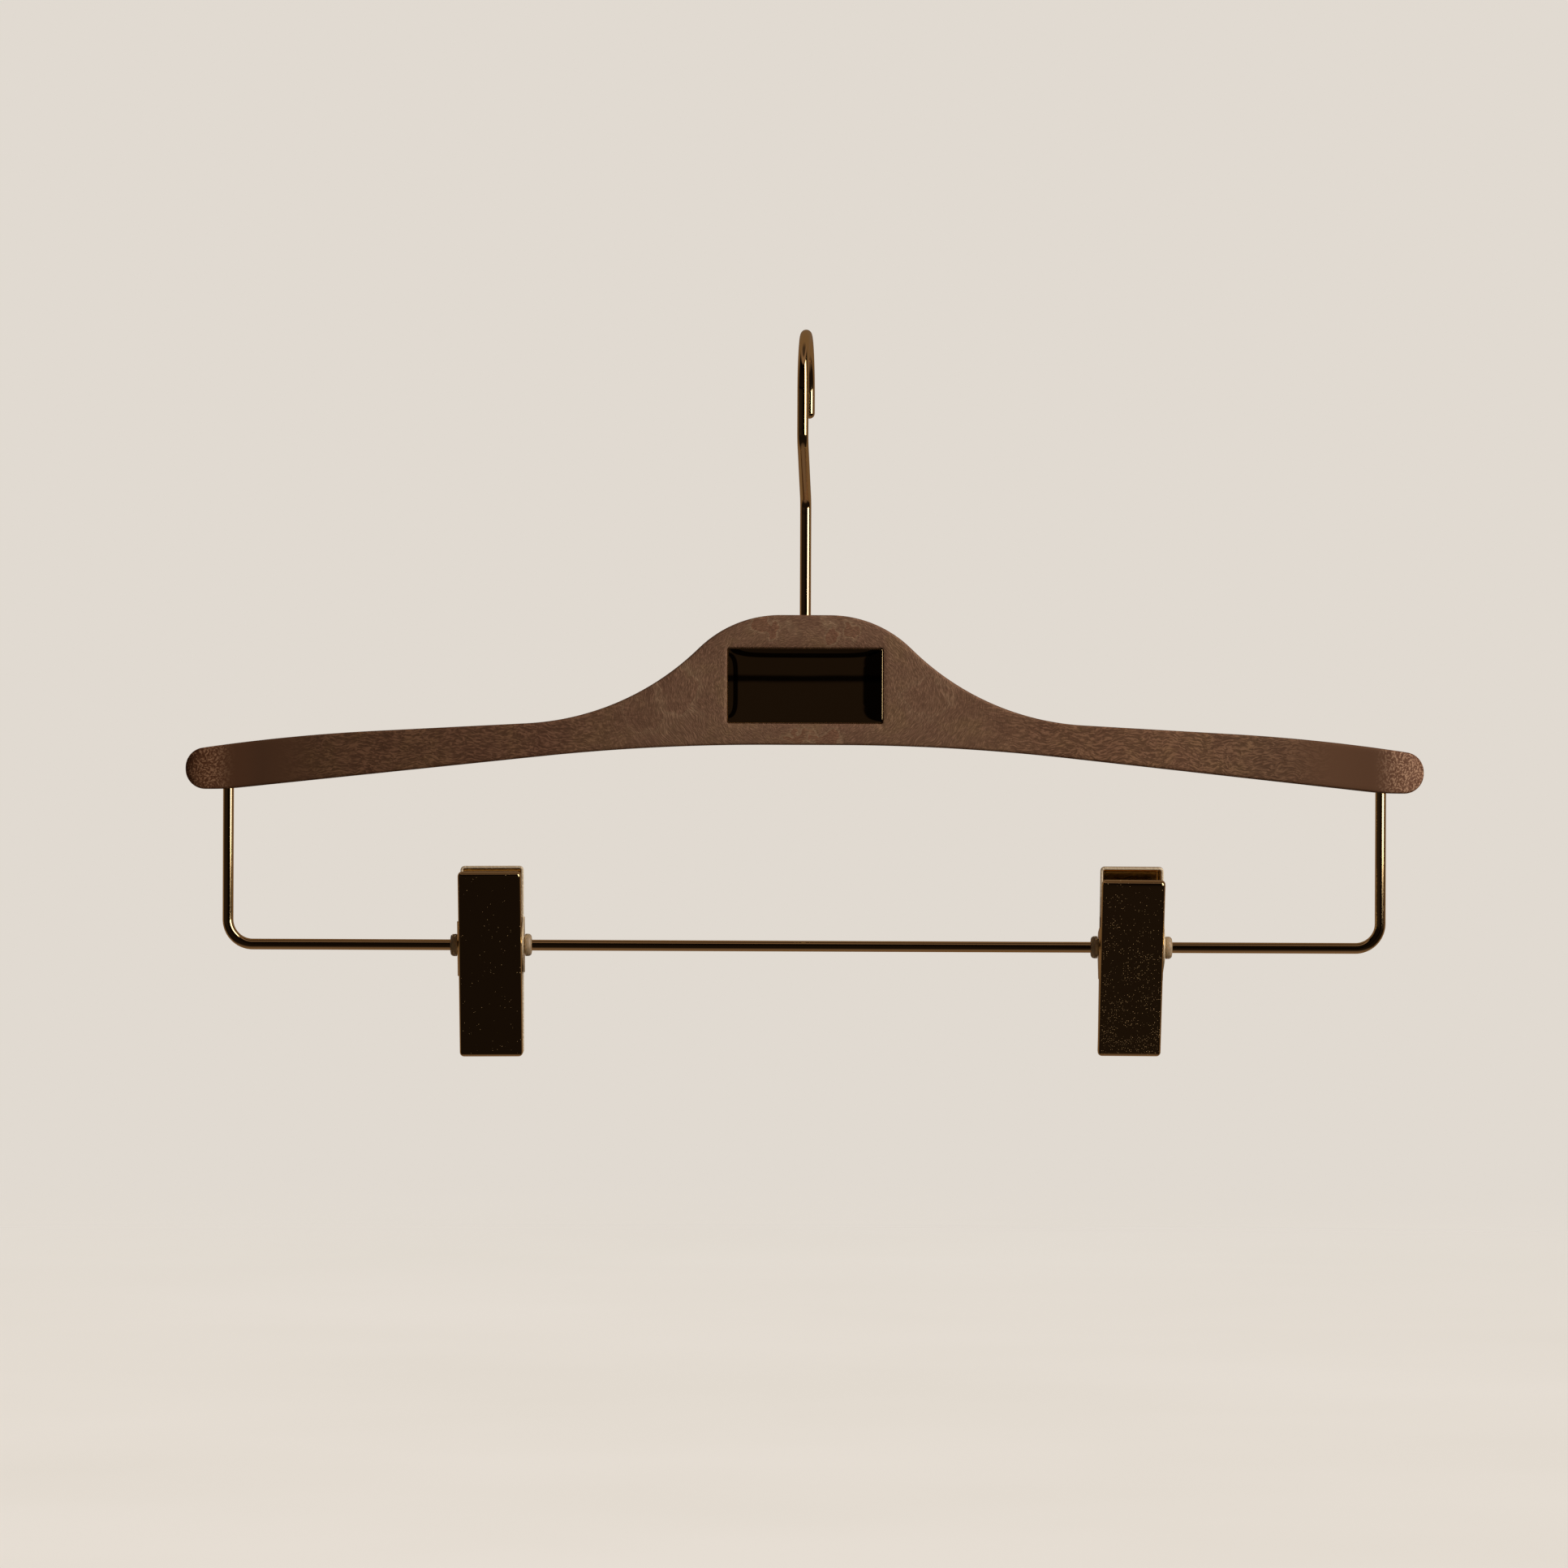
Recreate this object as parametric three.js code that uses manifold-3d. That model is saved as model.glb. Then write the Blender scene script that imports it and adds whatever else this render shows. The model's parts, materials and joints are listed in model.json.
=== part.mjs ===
// Trouser clip hanger: a swivel wire hook, a moulded arched body with a name plate, a wire drop bar,
// and two spring clips that slide and turn on the bar.
// Millimetres. +Z is up, +X runs along the body, -Y is the front.
// The origin is the hook's seat: the inner top of the crook, where the hanger rests on a rail.
import * as THREE from "three";
import { mergeVertices } from "three/addons/utils/BufferGeometryUtils.js";
import Module from "manifold-3d";

const wasm = await Module();
wasm.setup();

// ---- driving dimensions ----

const GAP = 0.3; // clearance between neighbouring pieces
const EPS = 1; // how far a cutter runs past the face that it opens
const CHORD_SAG = 0.04; // how far an arc's chords may lie off the true arc

const HOOK = {
  wire: 3.6,
  crookRadius: 19, // centre line
  upperBend: 33.0, // below the seat, where the front leg starts to slant back
  lowerBend: 52.0, // below the seat, where the slant meets the stem
  bendRadius: 6,
  tip: 24.2, // below the seat, the lowest point of the rounded tip
  turned: -3.3, // degrees that the hook stands away from square to the body
  headRadius: 3.1,
  headHeight: 2.2,
};

const WASHER = {
  radius: 4.3,
  thickness: 1,
  aboveHead: 0.2, // gap to the hook's head
  belowCeiling: 0.5, // gap to the pocket's ceiling
};

const BODY = {
  top: -88.8,
  thickness: 12,
  tall: 80, // more than the body's whole height
  edge: 0.8, // rounding of the long edges
  tipTaper: 18, // length over which each tip thins towards its end
  tipHalf: 1.8, // half thickness left at the very end of a tip
  boreTop: 14, // length of the hook's bore above the pocket
  pocketWidth: 11,
  pocketHeight: 5.8,
  pocketDepth: 10.4, // from the front face
};

// Right half of the body's front outline, from the middle of the top round to the middle of the
// underside: straight stretches, and arcs with their turn in degrees, to the left if positive.
const OUTLINE = [
  { line: 8 },
  { radius: 37.5, turn: -44.5 }, // shoulder beside the hook
  { radius: 85.8, turn: 41.4 }, // neck down to the arm
  { line: 48.9 },
  { radius: 600, turn: -5.35 }, // arm bending down to the tip
  { radius: 6.7, turn: -171.55 }, // tip
  { line: 1.7 },
  { radius: 80, turn: -6.16 },
  { line: 98.4 },
  { radius: 688, turn: 6.16 }, // shallow arch of the underside
];

const PLATE = {
  width: 50,
  height: 24.1,
  thickness: 1,
  corner: 0.8,
  edge: 0.25,
  below: 22.8, // centre, below the body's top
  recessDepth: 1.4,
  recessMargin: 0.2,
};

const TAPE = { width: 48, height: 22, corner: 1, thickness: 0.3, gap: 0.1 };

const BAR = {
  wire: 3.5,
  z: -195.7,
  halfSpan: 186.2,
  cornerRadius: 8,
  entry: 56.6, // from the body's top down to its underside at the bar's legs
  intoBody: 9.5,
};

const CLIP = {
  halfWidth: 10.2,
  handle: 25.5, // from the pivot up to the handle's end
  jaw: 35.7, // from the pivot down to the jaw's end
  face: 7, // from the pivot to a plate's outer face
  sheet: 0.8,
  rim: 2.5, // depth of the folded rim
  corner: 1.4,
  bend: 1.2, // outer radius of the fold
  nest: 0.1, // how far each plate sits to one side
  earSet: 0.4, // how far both ears are set over, so that two identical stampings nest
  earRadius: 5.2,
  earFoot: 9, // half length of an ear where it leaves the rim
  earRoot: 1, // from the outer face to where an ear begins
  rimCut: 1.4, // depth of rim that is left beside an ear
  splay: 6, // degrees each plate leans at rest, handles apart and jaws shut
};

const BUSH = {
  boreRadius: 2.2,
  neckRadius: 2.7,
  flangeRadius: 3.6,
  overall: 26.3, // over both bushes
  shoulder: 0.9, // length over which a flange rounds off
  rounding: 0.4,
};

const PAD = {
  halfWidth: 8.6,
  top: -21,
  bottom: -34,
  meet: 0.15, // from a pad's face to the clip's middle plane
  backGap: 0.1,
};

const SPRING = { wire: 1.5, coilRadius: 4.2, turns: 4.5, pitch: 1.75, leg: 17.5, legReach: 7.0 };

// Where each clip sits on the bar, how far it is turned about it, and how it leans in its play.
const CLIPS = [
  { side: "left", x: -101.1, turned: 6.5, lean: -0.35 },
  { side: "right", x: 105.8, turned: 15.5, lean: 0.2 },
];

// ---- finishes ----

const finish = (color, roughness, metalness) =>
  new THREE.MeshStandardMaterial({ color, roughness, metalness });

const PEARL_PLASTIC = finish("#96735a", 0.38, 0.2);
const GOLD_PLATED = finish("#c79a5b", 0.14, 1);
const PLAIN_STEEL = finish("#9a9790", 0.3, 1);
const NATURAL_NYLON = finish("#e6d8c0", 0.45, 0);
const PAD_RUBBER = finish("#2b2623", 0.8, 0);
const FOAM_TAPE = finish("#e9e4da", 0.9, 0);

// ---- helpers ----

const X_AXIS = new THREE.Vector3(1, 0, 0);
const Y_AXIS = new THREE.Vector3(0, 1, 0);
const Z_AXIS = new THREE.Vector3(0, 0, 1);
const radians = THREE.MathUtils.degToRad;

// A closed three.js geometry as a solid that can be joined and cut.
function solid(geometry) {
  const bare = new THREE.BufferGeometry();
  bare.setAttribute("position", geometry.getAttribute("position"));
  bare.setIndex(geometry.index);
  const merged = mergeVertices(bare);
  return new wasm.Manifold(
    new wasm.Mesh({
      numProp: 3,
      vertProperties: merged.attributes.position.array,
      triVerts: new Uint32Array(merged.index.array),
    }),
  );
}

// The same solid as a three.js geometry again.
function surface(made) {
  const { vertProperties, triVerts } = made.getMesh();
  const geometry = new THREE.BufferGeometry();
  geometry.setAttribute("position", new THREE.BufferAttribute(vertProperties, 3));
  geometry.setIndex(new THREE.BufferAttribute(triVerts, 1));
  geometry.computeVertexNormals();
  return geometry;
}

// A box between two corners.
function box([x0, y0, z0], [x1, y1, z1]) {
  const geometry = new THREE.BoxGeometry(x1 - x0, y1 - y0, z1 - z0);
  return geometry.translate((x0 + x1) / 2, (y0 + y1) / 2, (z0 + z1) / 2);
}

// A round bar or cutter along X or Z, between two places on that axis.
function round(radius, from, to, axis, sides = 24) {
  const geometry = new THREE.CylinderGeometry(radius, radius, to - from, sides);
  geometry.translate(0, (from + to) / 2, 0);
  return axis === "x" ? geometry.rotateZ(-Math.PI / 2) : geometry.rotateX(Math.PI / 2);
}

// A shape drawn in X and Z, as thick as said and centred on Y = 0, with rounded long edges if wanted.
function frontShape(shape, thickness, edge = 0, edgeSteps = 2) {
  const geometry = new THREE.ExtrudeGeometry(shape, {
    depth: thickness - 2 * edge,
    bevelEnabled: edge > 0,
    bevelThickness: edge,
    bevelSize: edge,
    bevelOffset: -edge,
    bevelSegments: edgeSteps,
    curveSegments: 4,
  });
  return geometry.translate(0, 0, edge - thickness / 2).rotateX(Math.PI / 2);
}

// A shape drawn in Y and Z, extruded along X between two places.
function sideShape(shape, from, to) {
  const geometry = new THREE.ExtrudeGeometry(shape, {
    depth: to - from,
    bevelEnabled: false,
    curveSegments: 16,
  });
  const upright = new THREE.Matrix4().makeBasis(Y_AXIS, Z_AXIS, X_AXIS);
  return geometry.translate(0, 0, from).applyMatrix4(upright);
}

// A rectangle with rounded corners.
function roundedRectangle(x0, y0, x1, y1, radius) {
  const shape = new THREE.Shape();
  shape.moveTo(x0 + radius, y0);
  shape.absarc(x1 - radius, y0 + radius, radius, -Math.PI / 2, 0);
  shape.absarc(x1 - radius, y1 - radius, radius, 0, Math.PI / 2);
  shape.absarc(x0 + radius, y1 - radius, radius, Math.PI / 2, Math.PI);
  shape.absarc(x0 + radius, y0 + radius, radius, Math.PI, 1.5 * Math.PI);
  return shape;
}

// A pen that draws straight and round stretches, each leaving the last one in its own direction.
class Pen {
  constructor(x, y, heading) {
    this.at = new THREE.Vector2(x, y);
    this.heading = radians(heading);
    this.points = [this.at.clone()];
  }

  line(length) {
    this.at.x += length * Math.cos(this.heading);
    this.at.y += length * Math.sin(this.heading);
    this.points.push(this.at.clone());
    return this;
  }

  // Positive turns go to the left.
  arc(radius, turn) {
    const whole = radians(turn);
    const chordFor = Math.sqrt(8 * radius * CHORD_SAG);
    const steps = Math.max(3, Math.ceil((radius * Math.abs(whole)) / chordFor));
    const step = whole / steps;
    const chord = 2 * radius * Math.sin(Math.abs(step) / 2);
    for (let i = 0; i < steps; i += 1) {
      this.heading += step / 2;
      this.line(chord);
      this.heading += step / 2;
    }
    return this;
  }
}

// A wire's centre line through stations that are close together only where it bends.
class WireRoute extends THREE.Curve {
  constructor(stations) {
    super();
    this.stations = stations;
  }

  getUtoTmapping(u) {
    return u;
  }

  getPoint(t, target = new THREE.Vector3()) {
    const last = this.stations.length - 1;
    const place = Math.min(Math.max(t, 0), 1) * last;
    const i = Math.min(Math.floor(place), last - 1);
    return target.lerpVectors(this.stations[i], this.stations[i + 1], place - i);
  }
}

// Stations of a route drawn in Y and Z by a pen, or in X and Z.
const inSidePlane = (points) => points.map((p) => new THREE.Vector3(0, p.x, p.y));
const inFrontPlane = (points) => points.map((p) => new THREE.Vector3(p.x, 0, p.y));

// A round wire along stations.
function wire(diameter, stations, sides) {
  const section = new THREE.Shape();
  section.absarc(0, 0, diameter / 2, 0, 2 * Math.PI);
  return new THREE.ExtrudeGeometry(section, {
    steps: stations.length - 1,
    curveSegments: sides,
    bevelEnabled: false,
    extrudePath: new WireRoute(stations),
  });
}

function part(name, geometry, material) {
  const mesh = new THREE.Mesh(geometry, material);
  mesh.name = name;
  return mesh;
}

// ---- hook ----

const pocketCeiling = BODY.top - BODY.boreTop;
const washerTop = pocketCeiling - WASHER.belowCeiling;
const headTop = washerTop - WASHER.thickness - WASHER.aboveHead;

// Centre line: up the stem, forward along the slant, up the front leg, over the crook and down to the tip.
function hookRoute() {
  const slantRun = HOOK.lowerBend - HOOK.upperBend;
  const slant = THREE.MathUtils.radToDeg(Math.atan2(HOOK.crookRadius, slantRun));
  const setback = HOOK.bendRadius * Math.tan(radians(slant / 2));
  const crookCentre = HOOK.wire / 2 - HOOK.crookRadius;
  const stemFoot = headTop - HOOK.headHeight / 2;
  const pen = new Pen(0, stemFoot, 90);
  pen.line(-HOOK.lowerBend - setback - stemFoot);
  pen.arc(HOOK.bendRadius, slant);
  pen.line(Math.hypot(HOOK.crookRadius, slantRun) - 2 * setback);
  pen.arc(HOOK.bendRadius, -slant);
  pen.line(crookCentre + HOOK.upperBend - setback);
  pen.arc(HOOK.crookRadius, -180);
  pen.line(HOOK.tip + crookCentre - HOOK.wire / 2);
  return pen.points;
}

function hook() {
  const route = inSidePlane(hookRoute());
  const tip = route[route.length - 1];
  const dome = new THREE.SphereGeometry(HOOK.wire / 2, 12, 8).translate(tip.x, tip.y, tip.z);
  const head = round(HOOK.headRadius, headTop - HOOK.headHeight, headTop, "z");
  const made = solid(wire(HOOK.wire, route, 12)).add(solid(dome)).add(solid(head));
  return part("hook", surface(made), GOLD_PLATED);
}

// A washer between the hook's formed head and the ceiling of the pocket.
function hookWasher() {
  const inner = HOOK.wire / 2 + GAP;
  const profile = [
    new THREE.Vector2(inner, 0),
    new THREE.Vector2(WASHER.radius, 0),
    new THREE.Vector2(WASHER.radius, WASHER.thickness),
    new THREE.Vector2(inner, WASHER.thickness),
    new THREE.Vector2(inner, 0),
  ];
  const ring = new THREE.LatheGeometry(profile, 24).rotateX(Math.PI / 2);
  ring.translate(0, 0, washerTop - WASHER.thickness);
  return part("hook_washer", ring, PLAIN_STEEL);
}

// ---- body, name plate and drop bar ----

function bodyOutline() {
  const pen = new Pen(0, 0, 0);
  for (const { line, radius, turn } of OUTLINE) {
    if (radius) pen.arc(radius, turn);
    else pen.line(line);
  }
  const half = pen.points;
  const mirrored = half.map((p) => new THREE.Vector2(-p.x, p.y)).reverse();
  return new THREE.Shape([...half, ...mirrored.slice(0, -1)]);
}

// The body seen from above: even thickness, with each tip thinning in a quarter ellipse.
function bodyPlan(halfLength) {
  const steps = 8;
  const start = halfLength - BODY.tipTaper;
  const corner = [];
  for (let i = 0; i <= steps; i += 1) {
    const angle = (i / steps) * (Math.PI / 2);
    const x = start + BODY.tipTaper * Math.sin(angle);
    const y = BODY.tipHalf + (BODY.thickness / 2 - BODY.tipHalf) * Math.cos(angle);
    corner.push(new THREE.Vector2(x, y));
  }
  const right = [...corner, ...corner.map((p) => new THREE.Vector2(p.x, -p.y)).reverse()];
  const left = right.map((p) => new THREE.Vector2(-p.x, -p.y));
  return new THREE.Shape([...right, ...left]);
}

const plateZ = BODY.top - PLATE.below;
const recessFloor = -BODY.thickness / 2 + PLATE.recessDepth;
const tapeFront = recessFloor - TAPE.gap - TAPE.thickness;
const barEntry = BODY.top - BAR.entry;

function hangerBody() {
  const outline = bodyOutline();
  const halfLength = Math.max(...outline.getPoints().map((p) => p.x));
  const slab = frontShape(outline, BODY.thickness, BODY.edge);
  slab.translate(0, 0, BODY.top);
  const plan = new THREE.ExtrudeGeometry(bodyPlan(halfLength), {
    depth: BODY.tall,
    bevelEnabled: false,
  });
  plan.translate(0, 0, BODY.top + EPS - BODY.tall);
  const halfX = PLATE.width / 2 + PLATE.recessMargin;
  const halfZ = PLATE.height / 2 + PLATE.recessMargin;
  const recess = frontShape(roundedRectangle(-halfX, -halfZ, halfX, halfZ, PLATE.corner), 2 * EPS);
  recess.scale(1, (PLATE.recessDepth + EPS) / (2 * EPS), 1);
  recess.translate(0, recessFloor - (PLATE.recessDepth + EPS) / 2, plateZ);
  const pocket = box(
    [-BODY.pocketWidth / 2, recessFloor - EPS, pocketCeiling - BODY.pocketHeight],
    [BODY.pocketWidth / 2, BODY.pocketDepth - BODY.thickness / 2, pocketCeiling],
  );
  const bore = round(HOOK.wire / 2 + GAP, pocketCeiling - EPS, BODY.top + EPS, "z");
  let made = solid(slab).intersect(solid(plan)).subtract(solid(recess));
  made = made.subtract(solid(pocket)).subtract(solid(bore));
  for (const side of [-1, 1]) {
    const below = barEntry - BAR.cornerRadius;
    const socket = round(BAR.wire / 2 + GAP, below, barEntry + BAR.intoBody + GAP, "z");
    made = made.subtract(solid(socket.translate(side * BAR.halfSpan, 0, 0)));
  }
  return part("hanger_body", surface(made), PEARL_PLASTIC);
}

function adhesivePad() {
  const halfX = TAPE.width / 2;
  const halfZ = TAPE.height / 2;
  const pad = roundedRectangle(-halfX, -halfZ, halfX, halfZ, TAPE.corner);
  const geometry = frontShape(pad, TAPE.thickness);
  geometry.translate(0, tapeFront + TAPE.thickness / 2, plateZ);
  return part("adhesive_pad", geometry, FOAM_TAPE);
}

function namePlate() {
  const halfX = PLATE.width / 2;
  const halfZ = PLATE.height / 2;
  const shape = roundedRectangle(-halfX, -halfZ, halfX, halfZ, PLATE.corner);
  const geometry = frontShape(shape, PLATE.thickness, PLATE.edge);
  geometry.translate(0, tapeFront - TAPE.gap - PLATE.thickness / 2, plateZ);
  return part("name_plate", geometry, GOLD_PLATED);
}

function trouserBar() {
  const top = barEntry + BAR.intoBody;
  const pen = new Pen(-BAR.halfSpan, top, -90);
  const leg = top - BAR.z - BAR.cornerRadius;
  pen.line(leg);
  pen.arc(BAR.cornerRadius, 90);
  pen.line(2 * (BAR.halfSpan - BAR.cornerRadius));
  pen.arc(BAR.cornerRadius, 90);
  pen.line(leg);
  return part("trouser_bar", wire(BAR.wire, inFrontPlane(pen.points), 12), GOLD_PLATED);
}

// ---- clips ----

// One stamping, used for the front and, turned half round, for the back: a shallow tray whose rim
// carries two ears that reach past the pivot. Its own frame has the pivot at the origin.
function stampedPlate(name) {
  const outline = roundedRectangle(
    -CLIP.halfWidth,
    -CLIP.jaw,
    CLIP.halfWidth,
    CLIP.handle,
    CLIP.corner,
  );
  const block = frontShape(outline, 2 * CLIP.face, CLIP.bend, 3);
  const slice = box(
    [-CLIP.halfWidth - EPS, -CLIP.face - EPS, -CLIP.jaw - EPS],
    [CLIP.halfWidth + EPS, CLIP.rim - CLIP.face, CLIP.handle + EPS],
  );
  const hollow = box(
    [CLIP.sheet - CLIP.halfWidth, CLIP.sheet - CLIP.face, CLIP.sheet - CLIP.jaw],
    [CLIP.halfWidth - CLIP.sheet, 0, CLIP.handle - CLIP.sheet],
  );
  const gate = box(
    [-CLIP.halfWidth - EPS, CLIP.rimCut - CLIP.face, -CLIP.earFoot],
    [CLIP.halfWidth + EPS, 0, CLIP.earFoot],
  );
  let made = solid(block).intersect(solid(slice)).subtract(solid(hollow)).subtract(solid(gate));
  const rimEdge = CLIP.rim - CLIP.face;
  const earRoot = CLIP.earRoot - CLIP.face;
  const footAngle = Math.atan2(CLIP.earFoot, rimEdge);
  const reach = Math.acos(CLIP.earRadius / Math.hypot(CLIP.earFoot, rimEdge));
  const ear = new THREE.Shape();
  ear.moveTo(earRoot, -CLIP.earFoot);
  ear.lineTo(rimEdge, -CLIP.earFoot);
  ear.absarc(0, 0, CLIP.earRadius, reach - footAngle, footAngle - reach);
  ear.lineTo(rimEdge, CLIP.earFoot);
  ear.lineTo(earRoot, CLIP.earFoot);
  for (const rimFrom of [-CLIP.halfWidth, CLIP.halfWidth - CLIP.sheet]) {
    const from = rimFrom - CLIP.earSet;
    made = made.add(solid(sideShape(ear, from, from + CLIP.sheet)));
  }
  const across = CLIP.halfWidth + EPS;
  made = made.subtract(solid(round(BUSH.neckRadius + GAP, -across, across, "x")));
  return part(name, surface(made.translate([-CLIP.nest, 0, 0])), GOLD_PLATED);
}

// A wedge pad inside the jaw, whose face meets its neighbour's along the clip's middle plane.
function jawPad(name) {
  const lean = Math.tan(radians(CLIP.splay));
  const back = CLIP.sheet - CLIP.face + PAD.backGap;
  const wedge = new THREE.Shape();
  wedge.moveTo(back, PAD.bottom);
  wedge.lineTo(PAD.bottom * lean - PAD.meet, PAD.bottom);
  wedge.lineTo(PAD.top * lean - PAD.meet, PAD.top);
  wedge.lineTo(back, PAD.top);
  const geometry = sideShape(wedge, -PAD.halfWidth - CLIP.nest, PAD.halfWidth - CLIP.nest);
  return part(name, geometry, PAD_RUBBER);
}

// A torsion spring round the bushes: its legs push the two handles apart.
function torsionSpring(name) {
  const stepsPerTurn = 12;
  const steps = SPRING.turns * stepsPerTurn;
  const half = (SPRING.turns * SPRING.pitch) / 2;
  const stations = [new THREE.Vector3(-half, -SPRING.legReach, SPRING.leg)];
  for (let i = 0; i <= steps; i += 1) {
    const angle = Math.PI + (i / stepsPerTurn) * 2 * Math.PI;
    const x = -half + (i / steps) * 2 * half;
    const y = SPRING.coilRadius * Math.cos(angle);
    const z = SPRING.coilRadius * Math.sin(angle);
    stations.push(new THREE.Vector3(x, y, z));
  }
  stations.push(new THREE.Vector3(half, SPRING.legReach, SPRING.leg));
  return part(name, wire(SPRING.wire, stations, 6), PLAIN_STEEL);
}

// A flanged bush: the flange stays outside the ears, the neck runs through them to the middle.
function flangedBush(name, turned) {
  const end = BUSH.overall / 2;
  const flangeFrom = CLIP.halfWidth + CLIP.earSet + CLIP.nest + GAP;
  const profile = [
    [BUSH.boreRadius, GAP],
    [BUSH.neckRadius, GAP],
    [BUSH.neckRadius, flangeFrom],
    [BUSH.flangeRadius, flangeFrom],
    [BUSH.flangeRadius, end - BUSH.shoulder],
    [BUSH.flangeRadius - BUSH.rounding, end - BUSH.rounding],
    [BUSH.boreRadius + BUSH.rounding, end],
    [BUSH.boreRadius, end],
    [BUSH.boreRadius, GAP],
  ];
  const points = profile.map(([radius, along]) => new THREE.Vector2(radius, along));
  const geometry = new THREE.LatheGeometry(points, 24).rotateZ(-Math.PI / 2);
  const bush = part(name, geometry, NATURAL_NYLON);
  bush.rotation.z = turned;
  return bush;
}

function springClip({ side, x, turned, lean }) {
  const clip = new THREE.Group();
  clip.position.set(x, 0, BAR.z);
  clip.rotation.set(radians(turned), radians(lean), 0);
  const front = new THREE.Group();
  front.rotation.x = radians(CLIP.splay);
  front.add(stampedPlate(`${side}_clip_front_plate`), jawPad(`${side}_clip_front_pad`));
  const back = new THREE.Group();
  back.rotation.set(-radians(CLIP.splay), 0, Math.PI);
  back.add(stampedPlate(`${side}_clip_back_plate`), jawPad(`${side}_clip_back_pad`));
  clip.add(front, back);
  clip.add(torsionSpring(`${side}_clip_spring`));
  clip.add(flangedBush(`${side}_clip_left_bush`, Math.PI));
  clip.add(flangedBush(`${side}_clip_right_bush`, 0));
  return clip;
}

// ---- assembly ----

const hanger = new THREE.Group();
const swivel = new THREE.Group();
swivel.rotation.z = radians(HOOK.turned);
swivel.add(hook(), hookWasher());
hanger.add(swivel);
hanger.add(hangerBody(), adhesivePad(), namePlate(), trouserBar());
hanger.add(...CLIPS.map(springClip));

export default hanger;
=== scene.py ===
"""Looks of the trouser clip hanger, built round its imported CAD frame.

Metres, +Z up, +X along the body, -Y the front. The origin is the hook's seat.
Shapes are drawn in millimetres and turned to metres where their meshes are made.
"""
import json
import math

import bmesh
import bpy
import numpy as np
from mathutils import Matrix, Vector


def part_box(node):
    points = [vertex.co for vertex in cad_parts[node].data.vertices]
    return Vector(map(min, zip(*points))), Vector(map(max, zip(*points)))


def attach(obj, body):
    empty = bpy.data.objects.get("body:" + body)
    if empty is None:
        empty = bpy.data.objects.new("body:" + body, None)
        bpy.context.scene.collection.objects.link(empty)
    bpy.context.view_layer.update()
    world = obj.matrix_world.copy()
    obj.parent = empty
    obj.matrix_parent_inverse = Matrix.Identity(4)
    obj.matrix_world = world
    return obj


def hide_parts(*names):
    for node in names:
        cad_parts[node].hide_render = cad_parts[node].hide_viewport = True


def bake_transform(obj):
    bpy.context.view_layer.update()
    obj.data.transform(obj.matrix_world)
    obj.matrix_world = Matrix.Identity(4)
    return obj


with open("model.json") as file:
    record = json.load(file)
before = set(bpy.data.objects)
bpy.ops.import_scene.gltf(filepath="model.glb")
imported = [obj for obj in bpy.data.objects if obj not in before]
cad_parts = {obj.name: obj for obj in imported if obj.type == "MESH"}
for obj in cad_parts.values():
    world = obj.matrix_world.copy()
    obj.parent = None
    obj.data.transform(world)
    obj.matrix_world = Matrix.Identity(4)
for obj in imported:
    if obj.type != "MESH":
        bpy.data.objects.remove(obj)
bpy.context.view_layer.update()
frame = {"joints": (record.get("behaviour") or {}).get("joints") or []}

MM = 0.001
TAU = 2 * math.pi

# ---------------------------------------------------------------- sizes, in millimetres

HOOK_LOW, HOOK_HIGH = (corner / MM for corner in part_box("hook"))
BODY_LOW, BODY_HIGH = (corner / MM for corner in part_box("hanger_body"))
BAR_LOW, BAR_HIGH = (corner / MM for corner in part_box("trouser_bar"))
PLATE_LOW, PLATE_HIGH = (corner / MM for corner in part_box("name_plate"))

HOOK_WIRE = 2 * 1.8
CROOK = 19.0
UPPER_BEND = -33.0
LOWER_BEND = -52.0
HOOK_BEND = 6.0
HOOK_TIP = -24.2
HOOK_TURNED = math.radians(-3.3)

BODY_TOP = BODY_HIGH.z
PLATE_Z = (PLATE_LOW.z + PLATE_HIGH.z) / 2
BODY_HALF = BODY_HIGH.x
THICK = BODY_HIGH.y
EDGE = 0.8
TIP_TAPER = 18.0
TIP_HALF = 1.8
TIP_ROUND = 6.7
TIP_LEAN = 8.45
RECESS_DEPTH = 1.4
RECESS_GAP = 0.2
POCKET_HALF = 5.5
POCKET_TALL = 5.8
POCKET_DEEP = 10.4
POCKET_TOP = BODY_TOP - 14
BORE_GAP = 0.25
SOCKET_GAP = 0.12

BAR_WIRE = 2 * BAR_HIGH.y
BAR_Z = BAR_LOW.z + BAR_WIRE / 2
BAR_HALF = BAR_HIGH.x - BAR_WIRE / 2
BAR_CORNER = 8.0

CLIP_HALF = 10.2
HANDLE = 25.48
JAW = 35.67
FACE = 7.0
SHEET = 0.8
RIM = 2.5
RIM_CUT = 1.4
PLATE_CORNER = 1.4
FOLD = 1.2
NEST = 0.1
SPLAY = math.radians(6)
EAR = 5.2
EAR_FOOT = 9.0
EAR_ROOT = 1.0
EAR_SET = 0.4
BUSH_BORE = 2.2
BUSH_NECK = 2.7
BUSH_FLANGE = 3.6
BUSH_END = 13.15

# Points nearer than this are one point.
MERGE = 0.0005

# ---------------------------------------------------------------- meshes


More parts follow.
